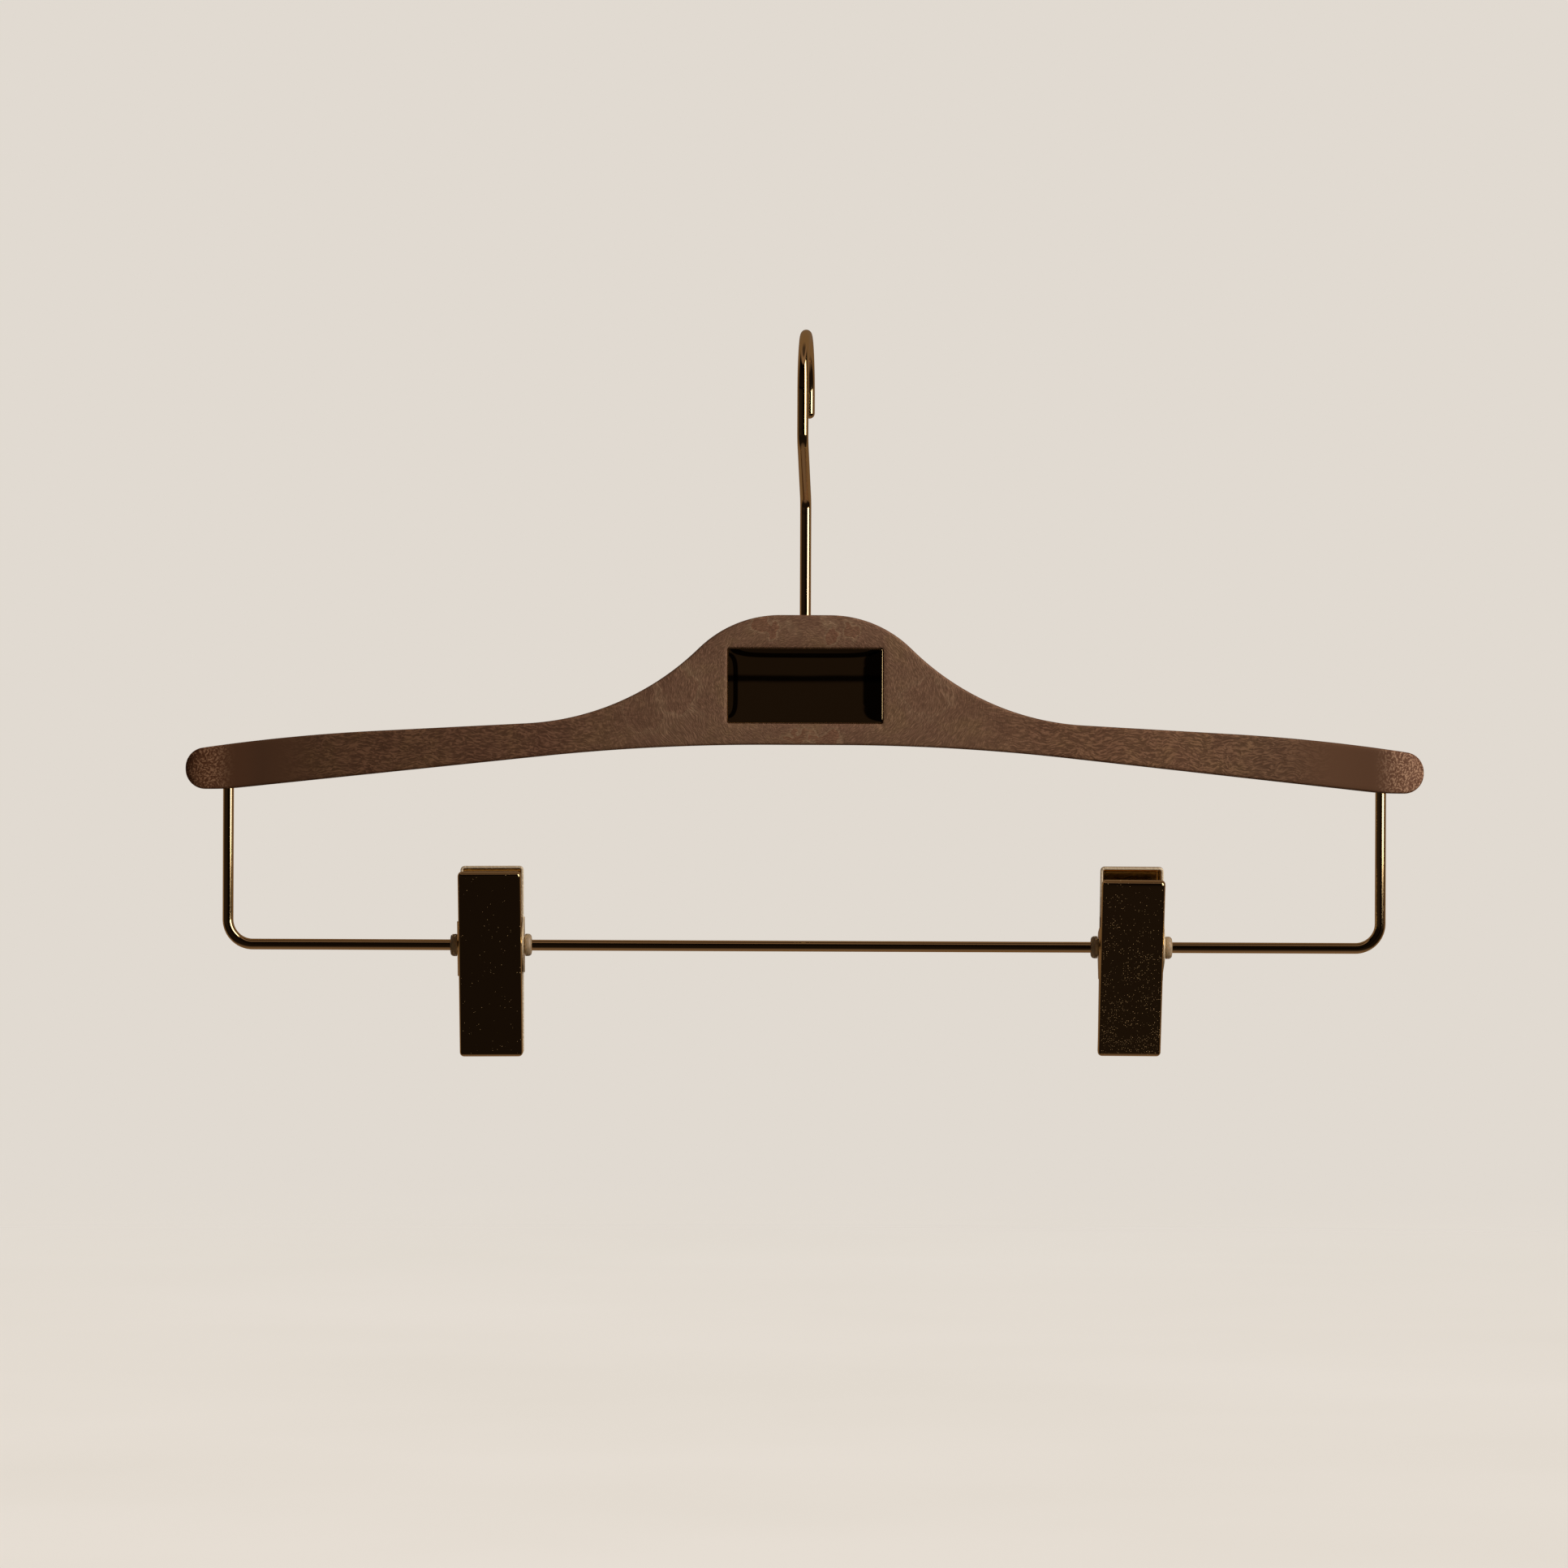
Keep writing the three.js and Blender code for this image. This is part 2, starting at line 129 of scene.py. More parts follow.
class Pen:
    """Draws an outline as straight and round stretches, each leaving the last in its direction."""

    def __init__(self, x, y, heading, step=1.0):
        self.at = (x, y)
        self.heading = math.radians(heading)
        self.step = step
        self.points = [self.at]

    def line(self, length, steps=1):
        for _ in range(steps):
            x = self.at[0] + length / steps * math.cos(self.heading)
            y = self.at[1] + length / steps * math.sin(self.heading)
            self.at = (x, y)
            self.points.append(self.at)
        return self

    def arc(self, radius, turn):
        """Positive turns go to the left."""
        whole = math.radians(turn)
        steps = max(4, math.ceil(abs(whole) * radius / self.step))
        chord = 2 * radius * math.sin(abs(whole) / steps / 2)
        for _ in range(steps):
            self.heading += whole / steps / 2
            self.line(chord)
            self.heading += whole / steps / 2
        return self


def in_metres(place):
    """A place given in millimetres, as the same place in metres."""
    metres = place.copy()
    metres.translation = place.translation * MM
    return metres


def make_object(name, verts, faces, material, place=None, sharp=35.0):
    """A mesh object from points in millimetres, moved by place, shaded smooth except past sharp."""
    bm = bmesh.new()
    for point in verts:
        bm.verts.new(point)
    bm.verts.ensure_lookup_table()
    for face in faces:
        if len(set(face)) > 2:
            bm.faces.new([bm.verts[i] for i in face])
    bmesh.ops.remove_doubles(bm, verts=bm.verts, dist=MERGE)
    bmesh.ops.dissolve_degenerate(bm, edges=bm.edges, dist=MERGE)
    bmesh.ops.recalc_face_normals(bm, faces=bm.faces)
    bm.transform(place if place else Matrix.Identity(4))
    return finish_mesh(name, bm, material, sharp, to_metres=True)


def finish_mesh(name, bm, material, sharp, to_metres=False):
    if to_metres:
        bm.transform(Matrix.Scale(MM, 4))
    limit = math.radians(sharp)
    for face in bm.faces:
        face.smooth = True
    for edge in bm.edges:
        edge.smooth = not edge.is_manifold or edge.calc_face_angle(0) < limit
    mesh = bpy.data.meshes.new(name)
    bm.to_mesh(mesh)
    bm.free()
    made = bpy.data.objects.new(name, mesh)
    bpy.context.scene.collection.objects.link(made)
    mesh.materials.append(material)
    return made


def loft(rings, cap=True):
    """Quads between closed rings of equal length, with the first and last ring filled."""
    count = len(rings[0])
    verts = [point for ring in rings for point in ring]
    faces = []
    for r in range(len(rings) - 1):
        for i in range(count):
            j = (i + 1) % count
            faces.append((r * count + i, r * count + j, (r + 1) * count + j, (r + 1) * count + i))
    if cap:
        faces.append(tuple(range(count))[::-1])
        faces.append(tuple((len(rings) - 1) * count + i for i in range(count)))
    return verts, faces


def cut(target, cutters, operation="DIFFERENCE", sharp=35.0):
    """target with each cutter taken away from it, or joined to it, and its edges marked again."""
    for cutter in cutters:
        modifier = target.modifiers.new("cut", "BOOLEAN")
        modifier.operation = operation
        modifier.solver = "EXACT"
        modifier.object = cutter
        graph = bpy.context.evaluated_depsgraph_get()
        result = bpy.data.meshes.new_from_object(target.evaluated_get(graph))
        target.modifiers.clear()
        target.data = result
        bpy.data.objects.remove(cutter)
    bm = bmesh.new()
    bm.from_mesh(target.data)
    bmesh.ops.remove_doubles(bm, verts=bm.verts, dist=2e-7)
    limit = math.radians(sharp)
    for face in bm.faces:
        face.smooth = True
        face.material_index = 0
    for edge in bm.edges:
        edge.smooth = edge.is_manifold and edge.calc_face_angle(0) < limit
    bm.to_mesh(target.data)
    bm.free()
    first = target.data.materials[0]
    target.data.materials.clear()
    target.data.materials.append(first)
    return target


def rounded_rectangle(x0, z0, x1, z1, radius, steps=6):
    """Points of a rectangle with rounded corners, anticlockwise."""
    centres = [
        (x1 - radius, z0 + radius, -90),
        (x1 - radius, z1 - radius, 0),
        (x0 + radius, z1 - radius, 90),
        (x0 + radius, z0 + radius, 180),
    ]
    points = []
    for cx, cz, start in centres:
        for i in range(steps + 1):
            angle = math.radians(start + 90 * i / steps)
            points.append((cx + radius * math.cos(angle), cz + radius * math.sin(angle)))
    return points


def circle(radius, count):
    angles = [TAU * i / count for i in range(count)]
    return [(radius * math.cos(angle), radius * math.sin(angle)) for angle in angles]


def rod(name, radius, low, high, axis, material, place=None):
    """A plain round solid between two places on an axis, used to bore holes."""
    rings = []
    for along in (low, high):
        ring = circle(radius, 48)
        if axis == "z":
            rings.append([(x, y, along) for x, y in ring])
        else:
            rings.append([(along, x, y) for x, y in ring])
    return make_object(name, *loft(rings), material, place)


def lathe(name, profile, axis, material, place=None, sharp=35.0):
    """A closed profile of (radius, along) turned round X or Z."""
    rings = []
    for c, s in circle(1, 64):
        if axis == "z":
            rings.append([(r * c, r * s, a) for r, a in profile])
        else:
            rings.append([(a, r * c, r * s) for r, a in profile])
    verts, faces = loft(rings + [rings[0]], cap=False)
    return make_object(name, verts, faces, material, place, sharp)


# ---------------------------------------------------------------- nodes


def linear(code):
    """An sRGB hex colour as linear red, green, blue and alpha."""
    channels = [int(code[i : i + 2], 16) / 255 for i in (1, 3, 5)]
    return tuple(c / 12.92 if c <= 0.04045 else ((c + 0.055) / 1.055) ** 2.4 for c in channels) + (1,)


def plug(tree, node, inputs):
    """Fills a node's sockets by name or place. An output is linked, and so is a node's first output.

    Anything else is set on the socket itself.
    """
    for key, value in inputs.items():
        if isinstance(value, bpy.types.Node):
            value = value.outputs[0]
        if isinstance(value, bpy.types.NodeSocket):
            tree.links.new(value, node.inputs[key])
        else:
            node.inputs[key].default_value = value


def add(tree, kind, inputs=None, stops=None, **settings):
    """Adds a node with its settings, what its sockets take, and its colour ramp's stops."""
    made = tree.nodes.new(kind)
    for key, value in settings.items():
        setattr(made, key, value)
    plug(tree, made, inputs or {})
    for i, (place, value) in enumerate(stops or []):
        elements = made.color_ramp.elements
        element = elements[i] if i < 2 else elements.new(place)
        element.position = place
        element.color = linear(value) if isinstance(value, str) else (value, value, value, 1)
    return made


def new_material(name):
    """A material, its tree, its shader and the Object coordinates that its patterns read."""
    material = bpy.data.materials.new(name)
    material.use_nodes = True
    tree = material.node_tree
    coords = tree.nodes.new("ShaderNodeTexCoord").outputs["Object"]
    return material, tree, tree.nodes["Principled BSDF"], coords


def mottle(tree, shader, pattern, stops, relief=0.0):
    """Colours a shader by a pattern and, where asked, raises the pattern's light parts by 0.05 mm."""
    color = add(tree, "ShaderNodeValToRGB", {"Fac": pattern}, stops=stops)
    plug(tree, shader, {"Base Color": color})
    if relief:
        levels = {"Height": pattern, "Strength": relief, "Distance": 0.05 * MM}
        plug(tree, shader, {"Normal": add(tree, "ShaderNodeBump", levels)})


# Length and width of a streak on the arms and of the grain in the middle, in millimetres. The grain runs
# round the plate as it would at GRAIN_ROUND from its middle.
STREAK = (2.7, 0.5)
GRAIN = (1.4, 0.34)
GRAIN_ROUND = 30
# A lobe's tints reach this many times its size.
LOBE_REACH = 1.4
# Painted sheen along the body, multiplied into its colour: how much light the flakes give back, all of it in
# the middle, less out along the arms as they lie flatter, and least, as a painted reflection of the dark room
# in front, where they have settled just short of each tip.
FLAKE_SHEEN = [
    (-195, "#dccab8"),
    (-175, "#b8b0a8"),
    (-145, "#d8ccc0"),
    (-85, "#e6dad4"),
    (-40, "#ffffff"),
    (40, "#ffffff"),
    (85, "#ece4da"),
    (120, "#f0e8e0"),
    (150, "#dcd8d0"),
    (190, "#b8b0a8"),
]
# Lobes where the melt met, on the body: middle across, middle below the body's top, half width,
# half height, how red its inside is and how light its rim.
FLOW_MARKS = [
    (-11.4, 4.4, 7.4, 3.0, 1.0, 1.1),
    (7.2, 6.0, 2.6, 4.6, 1.0, 1.1),
    (14.2, 5.4, 2.4, 3.2, 0.8, 1.1),
    (-2.0, 38.4, 5.2, 2.0, 1.0, 1.1),
    (6.0, 39.2, 5.6, 2.6, 0.9, 1.0),
    (-42.0, 25.0, 7.0, 10.0, 0.12, 0.8),
    (-52.0, 31.0, 6.0, 8.0, 0.0, 0.5),
    (38.0, 26.0, 8.0, 6.0, 0.0, 0.5),
]


def pearl_plastic():
    """Moulded ABS with bronze pearl pigment: satin, with flakes that show how the melt flowed."""
    material, tree, shader, coords = new_material("moulded pearl bronze ABS")
    split = add(tree, "ShaderNodeSeparateXYZ", {0: coords})
    side = add(tree, "ShaderNodeMath", {0: split.outputs["X"]}, operation="ABSOLUTE")

    # Zones from the middle out: fine grain, streaked arm, settled flakes, and the coppery tip.
    zones = {}
    for zone, start, end in (("arm", 40, 85), ("settled_and_painted_dark", 150, 174), ("tip", 183, 192)):
        reach = {"Value": side, "From Min": start * MM, "From Max": end * MM}
        zones[zone] = add(tree, "ShaderNodeMapRange", reach, interpolation_type="SMOOTHSTEP")
    between = {0: zones["settled_and_painted_dark"], 1: zones["tip"]}
    plain = add(tree, "ShaderNodeMath", between, operation="SUBTRACT", use_clamp=True)
    flaked = add(tree, "ShaderNodeMath", {0: 1.0, 1: plain}, operation="SUBTRACT")

    # The flow wanders twice over: by 3 mm over 12 mm, and by 0.7 mm over 2.5 mm.
    flow = coords
    for reach, size in ((3.0, 12.0), (0.7, 2.5)):
        wander = add(tree, "ShaderNodeTexNoise", {"Vector": flow, "Scale": 1 / (size * MM), "Detail": 1.0})
        levels = {0: wander.outputs["Color"], 1: [2 * reach * MM] * 3, 2: [-reach * MM] * 3}
        shift = add(tree, "ShaderNodeVectorMath", levels, operation="MULTIPLY_ADD")
        flow = add(tree, "ShaderNodeVectorMath", {0: flow, 1: shift}, operation="ADD")

    # Along an arm the flakes lie in wavy streaks that slope by 8 degrees.
    long, thin = 1 / STREAK[0] / MM, 1 / STREAK[1] / MM
    slope = {"Vector": flow, "Rotation": (0, math.radians(8), 0), "Scale": (long, thin, thin)}
    along = add(tree, "ShaderNodeMapping", slope)
    # In the middle they lie in finer ones that run round the name plate, in ovals 1.3 times as wide as high.
    oval = {"Vector": flow, "Location": (0, 0, -1.3 * PLATE_Z * MM), "Scale": (1, 0, 1.3)}
    centred = add(tree, "ShaderNodeMapping", oval)
    away = add(tree, "ShaderNodeVectorMath", {0: centred}, operation="LENGTH").outputs["Value"]
    unit = add(tree, "ShaderNodeVectorMath", {0: centred}, operation="NORMALIZE")
    turn = {0: unit, "Scale": GRAIN_ROUND / GRAIN[0]}
    turned = add(tree, "ShaderNodeVectorMath", turn, operation="SCALE")
    outward = add(tree, "ShaderNodeMath", {0: away, 1: 1 / GRAIN[1] / MM}, operation="MULTIPLY")
    rings = add(tree, "ShaderNodeCombineXYZ", {1: outward})
    around = add(tree, "ShaderNodeVectorMath", {0: turned, 1: rings}, operation="ADD")
    grains = []
    for vector, contrast in ((around, 0.85), (along, 1.5)):
        noise = add(tree, "ShaderNodeTexNoise", {"Vector": vector, "Scale": 1.0, "Detail": 2.0})
        levels = {0: noise, 1: contrast, 2: (1 - contrast) / 2}
        grains.append(add(tree, "ShaderNodeMath", levels, operation="MULTIPLY_ADD"))
    grain = add(tree, "ShaderNodeMix", {0: zones["arm"], 2: grains[0], 3: grains[1]})

    # Under the streaks, the bronze drifts in clouds 9 mm wide.
    cloudy = {"Vector": flow, "Scale": 1 / (9 * MM), "Detail": 3.0, "Roughness": 0.6}
    clouds = add(tree, "ShaderNodeTexNoise", cloudy)
    bronze = [(0.34, "#a8836c"), (0.5, "#ad8970"), (0.66, "#b08e70")]
    color = add(tree, "ShaderNodeValToRGB", {"Fac": clouds}, stops=bronze)

    # Lobes where the melt met round the gate and the plate's core: reddish, each with a light rim.
    swirl = add(tree, "ShaderNodeTexNoise", {"Vector": flow, "Scale": 1 / (5 * MM), "Detail": 1.0})
    levels = {0: swirl.outputs["Color"], 1: [9 * MM] * 3, 2: [-4.5 * MM] * 3}
    curl = add(tree, "ShaderNodeVectorMath", levels, operation="MULTIPLY_ADD")
    curled = add(tree, "ShaderNodeVectorMath", {0: flow, 1: curl}, operation="ADD")
    for x, below, half_x, half_z, fill, outline in FLOW_MARKS:
        lobe = {
            "Vector": curled,
            "Location": (-x / half_x, 0, -(BODY_TOP - below) / half_z),
            "Scale": (1 / half_x / MM, 0, 1 / half_z / MM),
        }
        offset = add(tree, "ShaderNodeMapping", lobe)
        reach = add(tree, "ShaderNodeVectorMath", {0: offset}, operation="LENGTH").outputs["Value"]
        part = add(tree, "ShaderNodeMath", {0: reach, 1: 1 / LOBE_REACH}, operation="MULTIPLY")
        for tint, strength, stops in (
            ("#b27f64", fill, [(0.0, 0.2), (0.6, 0.42), (0.86, 0.5), (0.96, 0.0)]),
            ("#d6b898", outline, [(0.82, 0.0), (0.95, 0.6), (1.02, 0.3), (1.3, 0.0)]),
        ):
            scaled = [(place / LOBE_REACH, value * strength) for place, value in stops]
            share = add(tree, "ShaderNodeValToRGB", {"Fac": part}, stops=scaled)
            tinted = {0: share, 6: color, 7: linear(tint)}
            color = add(tree, "ShaderNodeMix", tinted, data_type="RGBA").outputs[2]

    light = [(0.36, "#bcb8b4"), (0.52, "#d6d3d0"), (0.66, "#ffffff")]
    streak = add(tree, "ShaderNodeValToRGB", {"Fac": grain}, stops=light)
    streaked = {0: 1.0, 6: color, 7: streak}
    color = add(tree, "ShaderNodeMix", streaked, data_type="RGBA", blend_type="MULTIPLY").outputs[2]
    # Where the flakes have settled flat, the body is a uniform darker brown: partly their own smooth look,
    # partly a painted reflection of the dark room in front.
    settled_and_painted_dark = {0: plain, 6: color, 7: linear("#957057")}
    color = add(tree, "ShaderNodeMix", settled_and_painted_dark, data_type="RGBA").outputs[2]
    # At the tips the flakes, 0.6 mm apart, are coppery; their lightest spots are painted glints, as if single
    # flakes caught the light.
    sparkle = add(tree, "ShaderNodeTexNoise", {"Vector": flow, "Scale": 1 / (0.6 * MM), "Detail": 2.0})
    warm = [(0.40, "#9a6f57"), (0.5, "#b3886e"), (0.61, "#ffd9bc")]
    copper_and_painted_glints = add(tree, "ShaderNodeValToRGB", {"Fac": sparkle}, stops=warm)
    tipped = {0: zones["tip"], 6: color, 7: copper_and_painted_glints}
    color = add(tree, "ShaderNodeMix", tipped, data_type="RGBA").outputs[2]
    # Painted sheen: the colour is multiplied by the flake table along the body, lighter where the flakes
    # would catch the light and darker where they lie flat.
    length = {"Value": split.outputs["X"], "From Min": -200 * MM, "From Max": 200 * MM}
    across = add(tree, "ShaderNodeMapRange", length)
    tones = [((x + 200) / 400, value) for x, value in FLAKE_SHEEN]
    painted_sheen = add(tree, "ShaderNodeValToRGB", {"Fac": across}, stops=tones)
    sheen_mix = {0: 1.0, 6: color, 7: painted_sheen}
    color = add(tree, "ShaderNodeMix", sheen_mix, data_type="RGBA", blend_type="MULTIPLY").outputs[2]

    coarse = add(tree, "ShaderNodeMix", {0: zones["tip"], 2: grain, 3: sparkle})
    height = add(tree, "ShaderNodeMath", {0: coarse, 1: flaked}, operation="MULTIPLY")
    bump = add(tree, "ShaderNodeBump", {"Height": height, "Strength": 0.7, "Distance": 0.16 * MM})
    finish = {"Base Color": color, "Normal": bump, "Metallic": 0.3, "Roughness": 0.56}
    plug(tree, shader, finish)
    return material


GOLD = "#f9dfa9"


def gold_plate(name, roughness, waves, wave_size, dust=None, color=GOLD, metallic=1.0):
    """Bright gold plating on steel: a mirror with a faint waviness, and grains of dust and wear.

    dust gives the middle, the share of grains at the top and at the bottom, and their spacing.
    """
    material, tree, shader, coords = new_material(name)
    wavy = add(tree, "ShaderNodeTexNoise", {"Vector": coords, "Scale": 1 / wave_size, "Detail": 1.0})
    bump = add(tree, "ShaderNodeBump", {"Height": wavy, "Strength": 1.0, "Distance": waves})
    finish = {"Base Color": linear(color), "Metallic": metallic, "Roughness": roughness}
    plug(tree, shader, {"Normal": bump, **finish})
    if not dust:
        return material
    middle, top_share, low_share, spacing = dust
    # Seen from the front, so that the grains lie on the face and not in it.
    flat = add(tree, "ShaderNodeMapping", {"Vector": coords, "Rotation": (math.pi / 2, 0, 0)})
    cells = add(
        tree, "ShaderNodeTexVoronoi", {"Vector": flat, "Scale": 1 / spacing}, voronoi_dimensions="2D"
    )
    chance = add(tree, "ShaderNodeSeparateColor", {0: cells.outputs["Color"]})
    # They grow commoner down and to the left, over 30 mm each way from the clip's middle.
    thicker = Vector((-0.7, 0, -1)) / (30 * MM)
    down = add(tree, "ShaderNodeVectorMath", {0: coords, 1: thicker}, operation="DOT_PRODUCT")
    centre = Vector(middle) @ thicker
    spread = {"From Min": centre - 1, "From Max": centre + 1, "To Min": top_share, "To Max": low_share}
    even = add(tree, "ShaderNodeMapRange", {"Value": down.outputs["Value"], **spread})
    # The grains gather in drifts a few millimetres wide.
    drift = add(tree, "ShaderNodeTexNoise", {"Vector": flat, "Scale": 1 / (5 * MM), "Detail": 2.0})
    levels = {"From Min": 0.38, "From Max": 0.62, "To Min": 0.2, "To Max": 1.8}
    drifted = add(tree, "ShaderNodeMapRange", {"Value": drift, **levels})
    share = add(tree, "ShaderNodeMath", {0: even, 1: drifted}, operation="MULTIPLY")
    present = add(tree, "ShaderNodeMath", {0: chance.outputs["Red"], 1: share}, operation="LESS_THAN")
    sizes = {"Value": chance.outputs["Green"], "To Min": 0.05, "To Max": 0.19}
    grown = add(tree, "ShaderNodeMapRange", sizes)
    near = add(tree, "ShaderNodeMath", {0: cells, 1: grown}, operation="LESS_THAN")
    speck = add(tree, "ShaderNodeMath", {0: present, 1: near}, operation="MULTIPLY")
    bright = add(tree, "ShaderNodeMath", {0: 1.0, 1: speck}, operation="SUBTRACT")
    dusty = add(tree, "ShaderNodeMix", {0: speck, 2: roughness, 3: 0.6})
    coated = {0: speck, 6: linear(color), 7: linear("#f3cf98")}
    dulled = add(tree, "ShaderNodeMix", coated, data_type="RGBA").outputs[2]
    plug(tree, shader, {"Metallic": bright, "Roughness": dusty, "Base Color": dulled})
    return material


def natural_nylon():
    """Natural moulded nylon: milky and slightly see-through, satin, with faint flow clouds."""
    material, tree, shader, coords = new_material("natural moulded nylon")
    clouds = add(tree, "ShaderNodeTexNoise", {"Vector": coords, "Scale": 1 / (2.5 * MM), "Detail": 3.0})
    mottle(tree, shader, clouds, [(0.3, "#d2bd9c"), (0.7, "#e0cfb4")], 0.2)
    milky = {"Transmission Weight": 0.45, "Subsurface Weight": 0.2, "Subsurface Radius": (1.0, 0.8, 0.6)}
    plug(tree, shader, {"Roughness": 0.35, "IOR": 1.53, "Subsurface Scale": 0.6 * MM, **milky})
    return material


def spring_steel():
    """Drawn spring wire: grey steel, unevenly bright, with a trace of oil."""
    material, tree, shader, coords = new_material("drawn spring steel")
    noise = add(tree, "ShaderNodeTexNoise", {"Vector": coords, "Scale": 1 / (0.6 * MM), "Detail": 4.0})
    mottle(tree, shader, noise, [(0.3, "#77726b"), (0.7, "#a7a29a")])
    rough = add(tree, "ShaderNodeMapRange", {"Value": noise, "To Min": 0.2, "To Max": 0.42})
    plug(tree, shader, {"Roughness": rough, "Metallic": 1.0})
    return material


def grip_rubber():
    """Moulded black rubber: matt, with a fine spark-eroded grain."""
    material, tree, shader, coords = new_material("moulded grip rubber")
    grain = add(tree, "ShaderNodeTexNoise", {"Vector": coords, "Scale": 1 / (0.3 * MM), "Detail": 2.0})
    mottle(tree, shader, grain, [(0.3, "#1d1a18"), (0.7, "#2f2a27")], 0.4)
    plug(tree, shader, {"Roughness": 0.75})
    return material


def foam_tape():
    """Closed-cell foam tape: chalky white with fine open cells at its cut edge."""
    material, tree, shader, coords = new_material("closed-cell foam tape")
    cells = add(tree, "ShaderNodeTexVoronoi", {"Vector": coords, "Scale": 1 / (0.25 * MM)})
    mottle(tree, shader, cells, [(0.0, "#d8d2c6"), (0.6, "#f0ece3")], 0.4)
    plug(tree, shader, {"Roughness": 0.85})
    return material


PEARL = pearl_plastic()
GOLD_WIRE = gold_plate("bright gold plated wire", 0.08, 0.003 * MM, 6 * MM)
GOLD_NAME_PLATE = gold_plate("polished gold name plate", 0.02, 0.006 * MM, 16 * MM)
# Sheared steel under the plating: a rougher, beaded edge.
GOLD_EDGE = gold_plate("gold plated sheared edge", 0.4, 0.2 * MM, 0.5 * MM, None, "#fff0d2", 0.25)
NYLON = natural_nylon()
SPRING_STEEL = spring_steel()
RUBBER = grip_rubber()
TAPE = foam_tape()

# ---------------------------------------------------------------- wires


def shape_tree(name, inputs):
    """A geometry nodes tree with these named inputs, and the outputs that give them."""
    tree = bpy.data.node_groups.new(name, "GeometryNodeTree")
    for title, kind in {"Geometry": "Geometry", **inputs, "Finish": "Material"}.items():
        tree.interface.new_socket(name=title, in_out="INPUT", socket_type="NodeSocket" + kind)
    tree.interface.new_socket(name="Geometry", in_out="OUTPUT", socket_type="NodeSocketGeometry")
    return tree, add(tree, "NodeGroupInput").outputs


def finish_tree(tree, geometry, given):
    """Ends a tree: its instances made real, and its finish set."""
    real = add(tree, "GeometryNodeRealizeInstances", {"Geometry": geometry})
    coated = add(tree, "GeometryNodeSetMaterial", {"Geometry": real, "Material": given["Finish"]})
    add(tree, "NodeGroupOutput", {0: coated})
    return tree


def wire_tree():
    """Geometry nodes: a round wire along the object's own curve, as thick as each point says."""
    tree, given = shape_tree("round wire along a route", {"Wire radius": "Float", "Section sides": "Int"})
    outline = {"Radius": given["Wire radius"], "Resolution": given["Section sides"]}
    section = add(tree, "GeometryNodeCurvePrimitiveCircle", outline)
    thickness = add(tree, "GeometryNodeInputRadius")
    route = {"Curve": given["Geometry"], "Profile Curve": section, "Fill Caps": True}
    swept = add(tree, "GeometryNodeCurveToMesh", {**route, "Scale": thickness})
    return finish_tree(tree, swept, given)


WIRE_TREE = wire_tree()


def apply_tree(holder, tree, values):
    """What a geometry nodes tree makes of holder with these named inputs, as a bmesh."""
    modifier = holder.modifiers.new("shape", "NODES")
    modifier.node_group = tree
    for item in tree.interface.items_tree:
        if item.in_out == "INPUT" and item.name in values:
            modifier[item.identifier] = values[item.name]
    bpy.context.view_layer.update()
    graph = bpy.context.evaluated_depsgraph_get()
    mesh = bpy.data.meshes.new_from_object(holder.evaluated_get(graph))
    bpy.data.objects.remove(holder)
    bm = bmesh.new()
    bm.from_mesh(mesh)
    bpy.data.meshes.remove(mesh)
    return bm


def bent_wire(name, points, diameter, material, place=None, domed=(False, False), sides=40):
    """A wire along points in millimetres. A domed end is rounded off, and ends where the points do."""
    radius = diameter / 2
    path = [Vector(p) for p in points]
    sizes = [1.0] * len(path)
    for end, wanted in enumerate(domed):
        if not wanted:
            continue
        ordered = path if end else path[::-1]
        tip = ordered[-1]
        back = (ordered[-2] - tip).normalized()
        kept = [p for p in ordered if (p - tip).length > radius * 1.05]
        steps = 9
        angles = [math.radians(90 * i / steps) for i in range(steps + 1)]
        dome = [tip + back * radius * (1 - math.sin(a)) for a in angles]
        dome_sizes = [max(math.cos(a), 0.02) for a in angles]
        path = kept + dome if end else (kept + dome)[::-1]
        kept_sizes = sizes[: len(kept)] if end else sizes[len(sizes) - len(kept) :]
        sizes = kept_sizes + dome_sizes if end else dome_sizes[::-1] + kept_sizes
    curve = bpy.data.curves.new(name + " route", "CURVE")
    curve.dimensions = "3D"
    spline = curve.splines.new("POLY")
    spline.points.add(len(path) - 1)
    for point, at, size in zip(spline.points, path, sizes):
        point.co = (*(at * MM), 1)
        point.radius = size
    holder = bpy.data.objects.new(name + " route", curve)
    bpy.context.scene.collection.objects.link(holder)
    values = {"Wire radius": radius * MM, "Section sides": sides, "Finish": material}
    bm = apply_tree(holder, WIRE_TREE, values)
    bmesh.ops.recalc_face_normals(bm, faces=bm.faces)
    if place:
        bm.transform(in_metres(place))
    return finish_mesh(name, bm, material, 40)


def hook_points():
    """The hook's centre line: up the stem, out along the slant, over the crook and down to the tip."""
    run = UPPER_BEND - LOWER_BEND
    slant = math.degrees(math.atan2(CROOK, run))
    setback = HOOK_BEND * math.tan(math.radians(slant / 2))
    centre = HOOK_HIGH.z - HOOK_WIRE / 2 - CROOK
    foot = HOOK_LOW.z + 0.6
    pen = Pen(0, foot, 90, step=0.6)
    pen.line(LOWER_BEND - setback - foot, 24)
    pen.arc(HOOK_BEND, slant)
    pen.line(math.hypot(CROOK, run) - 2 * setback, 8)
    pen.arc(HOOK_BEND, -slant)
    pen.line(centre - UPPER_BEND - setback, 6)
    pen.arc(CROOK, -180)
    pen.line(centre - HOOK_TIP, 6)
    return [(0, y, z) for y, z in pen.points]


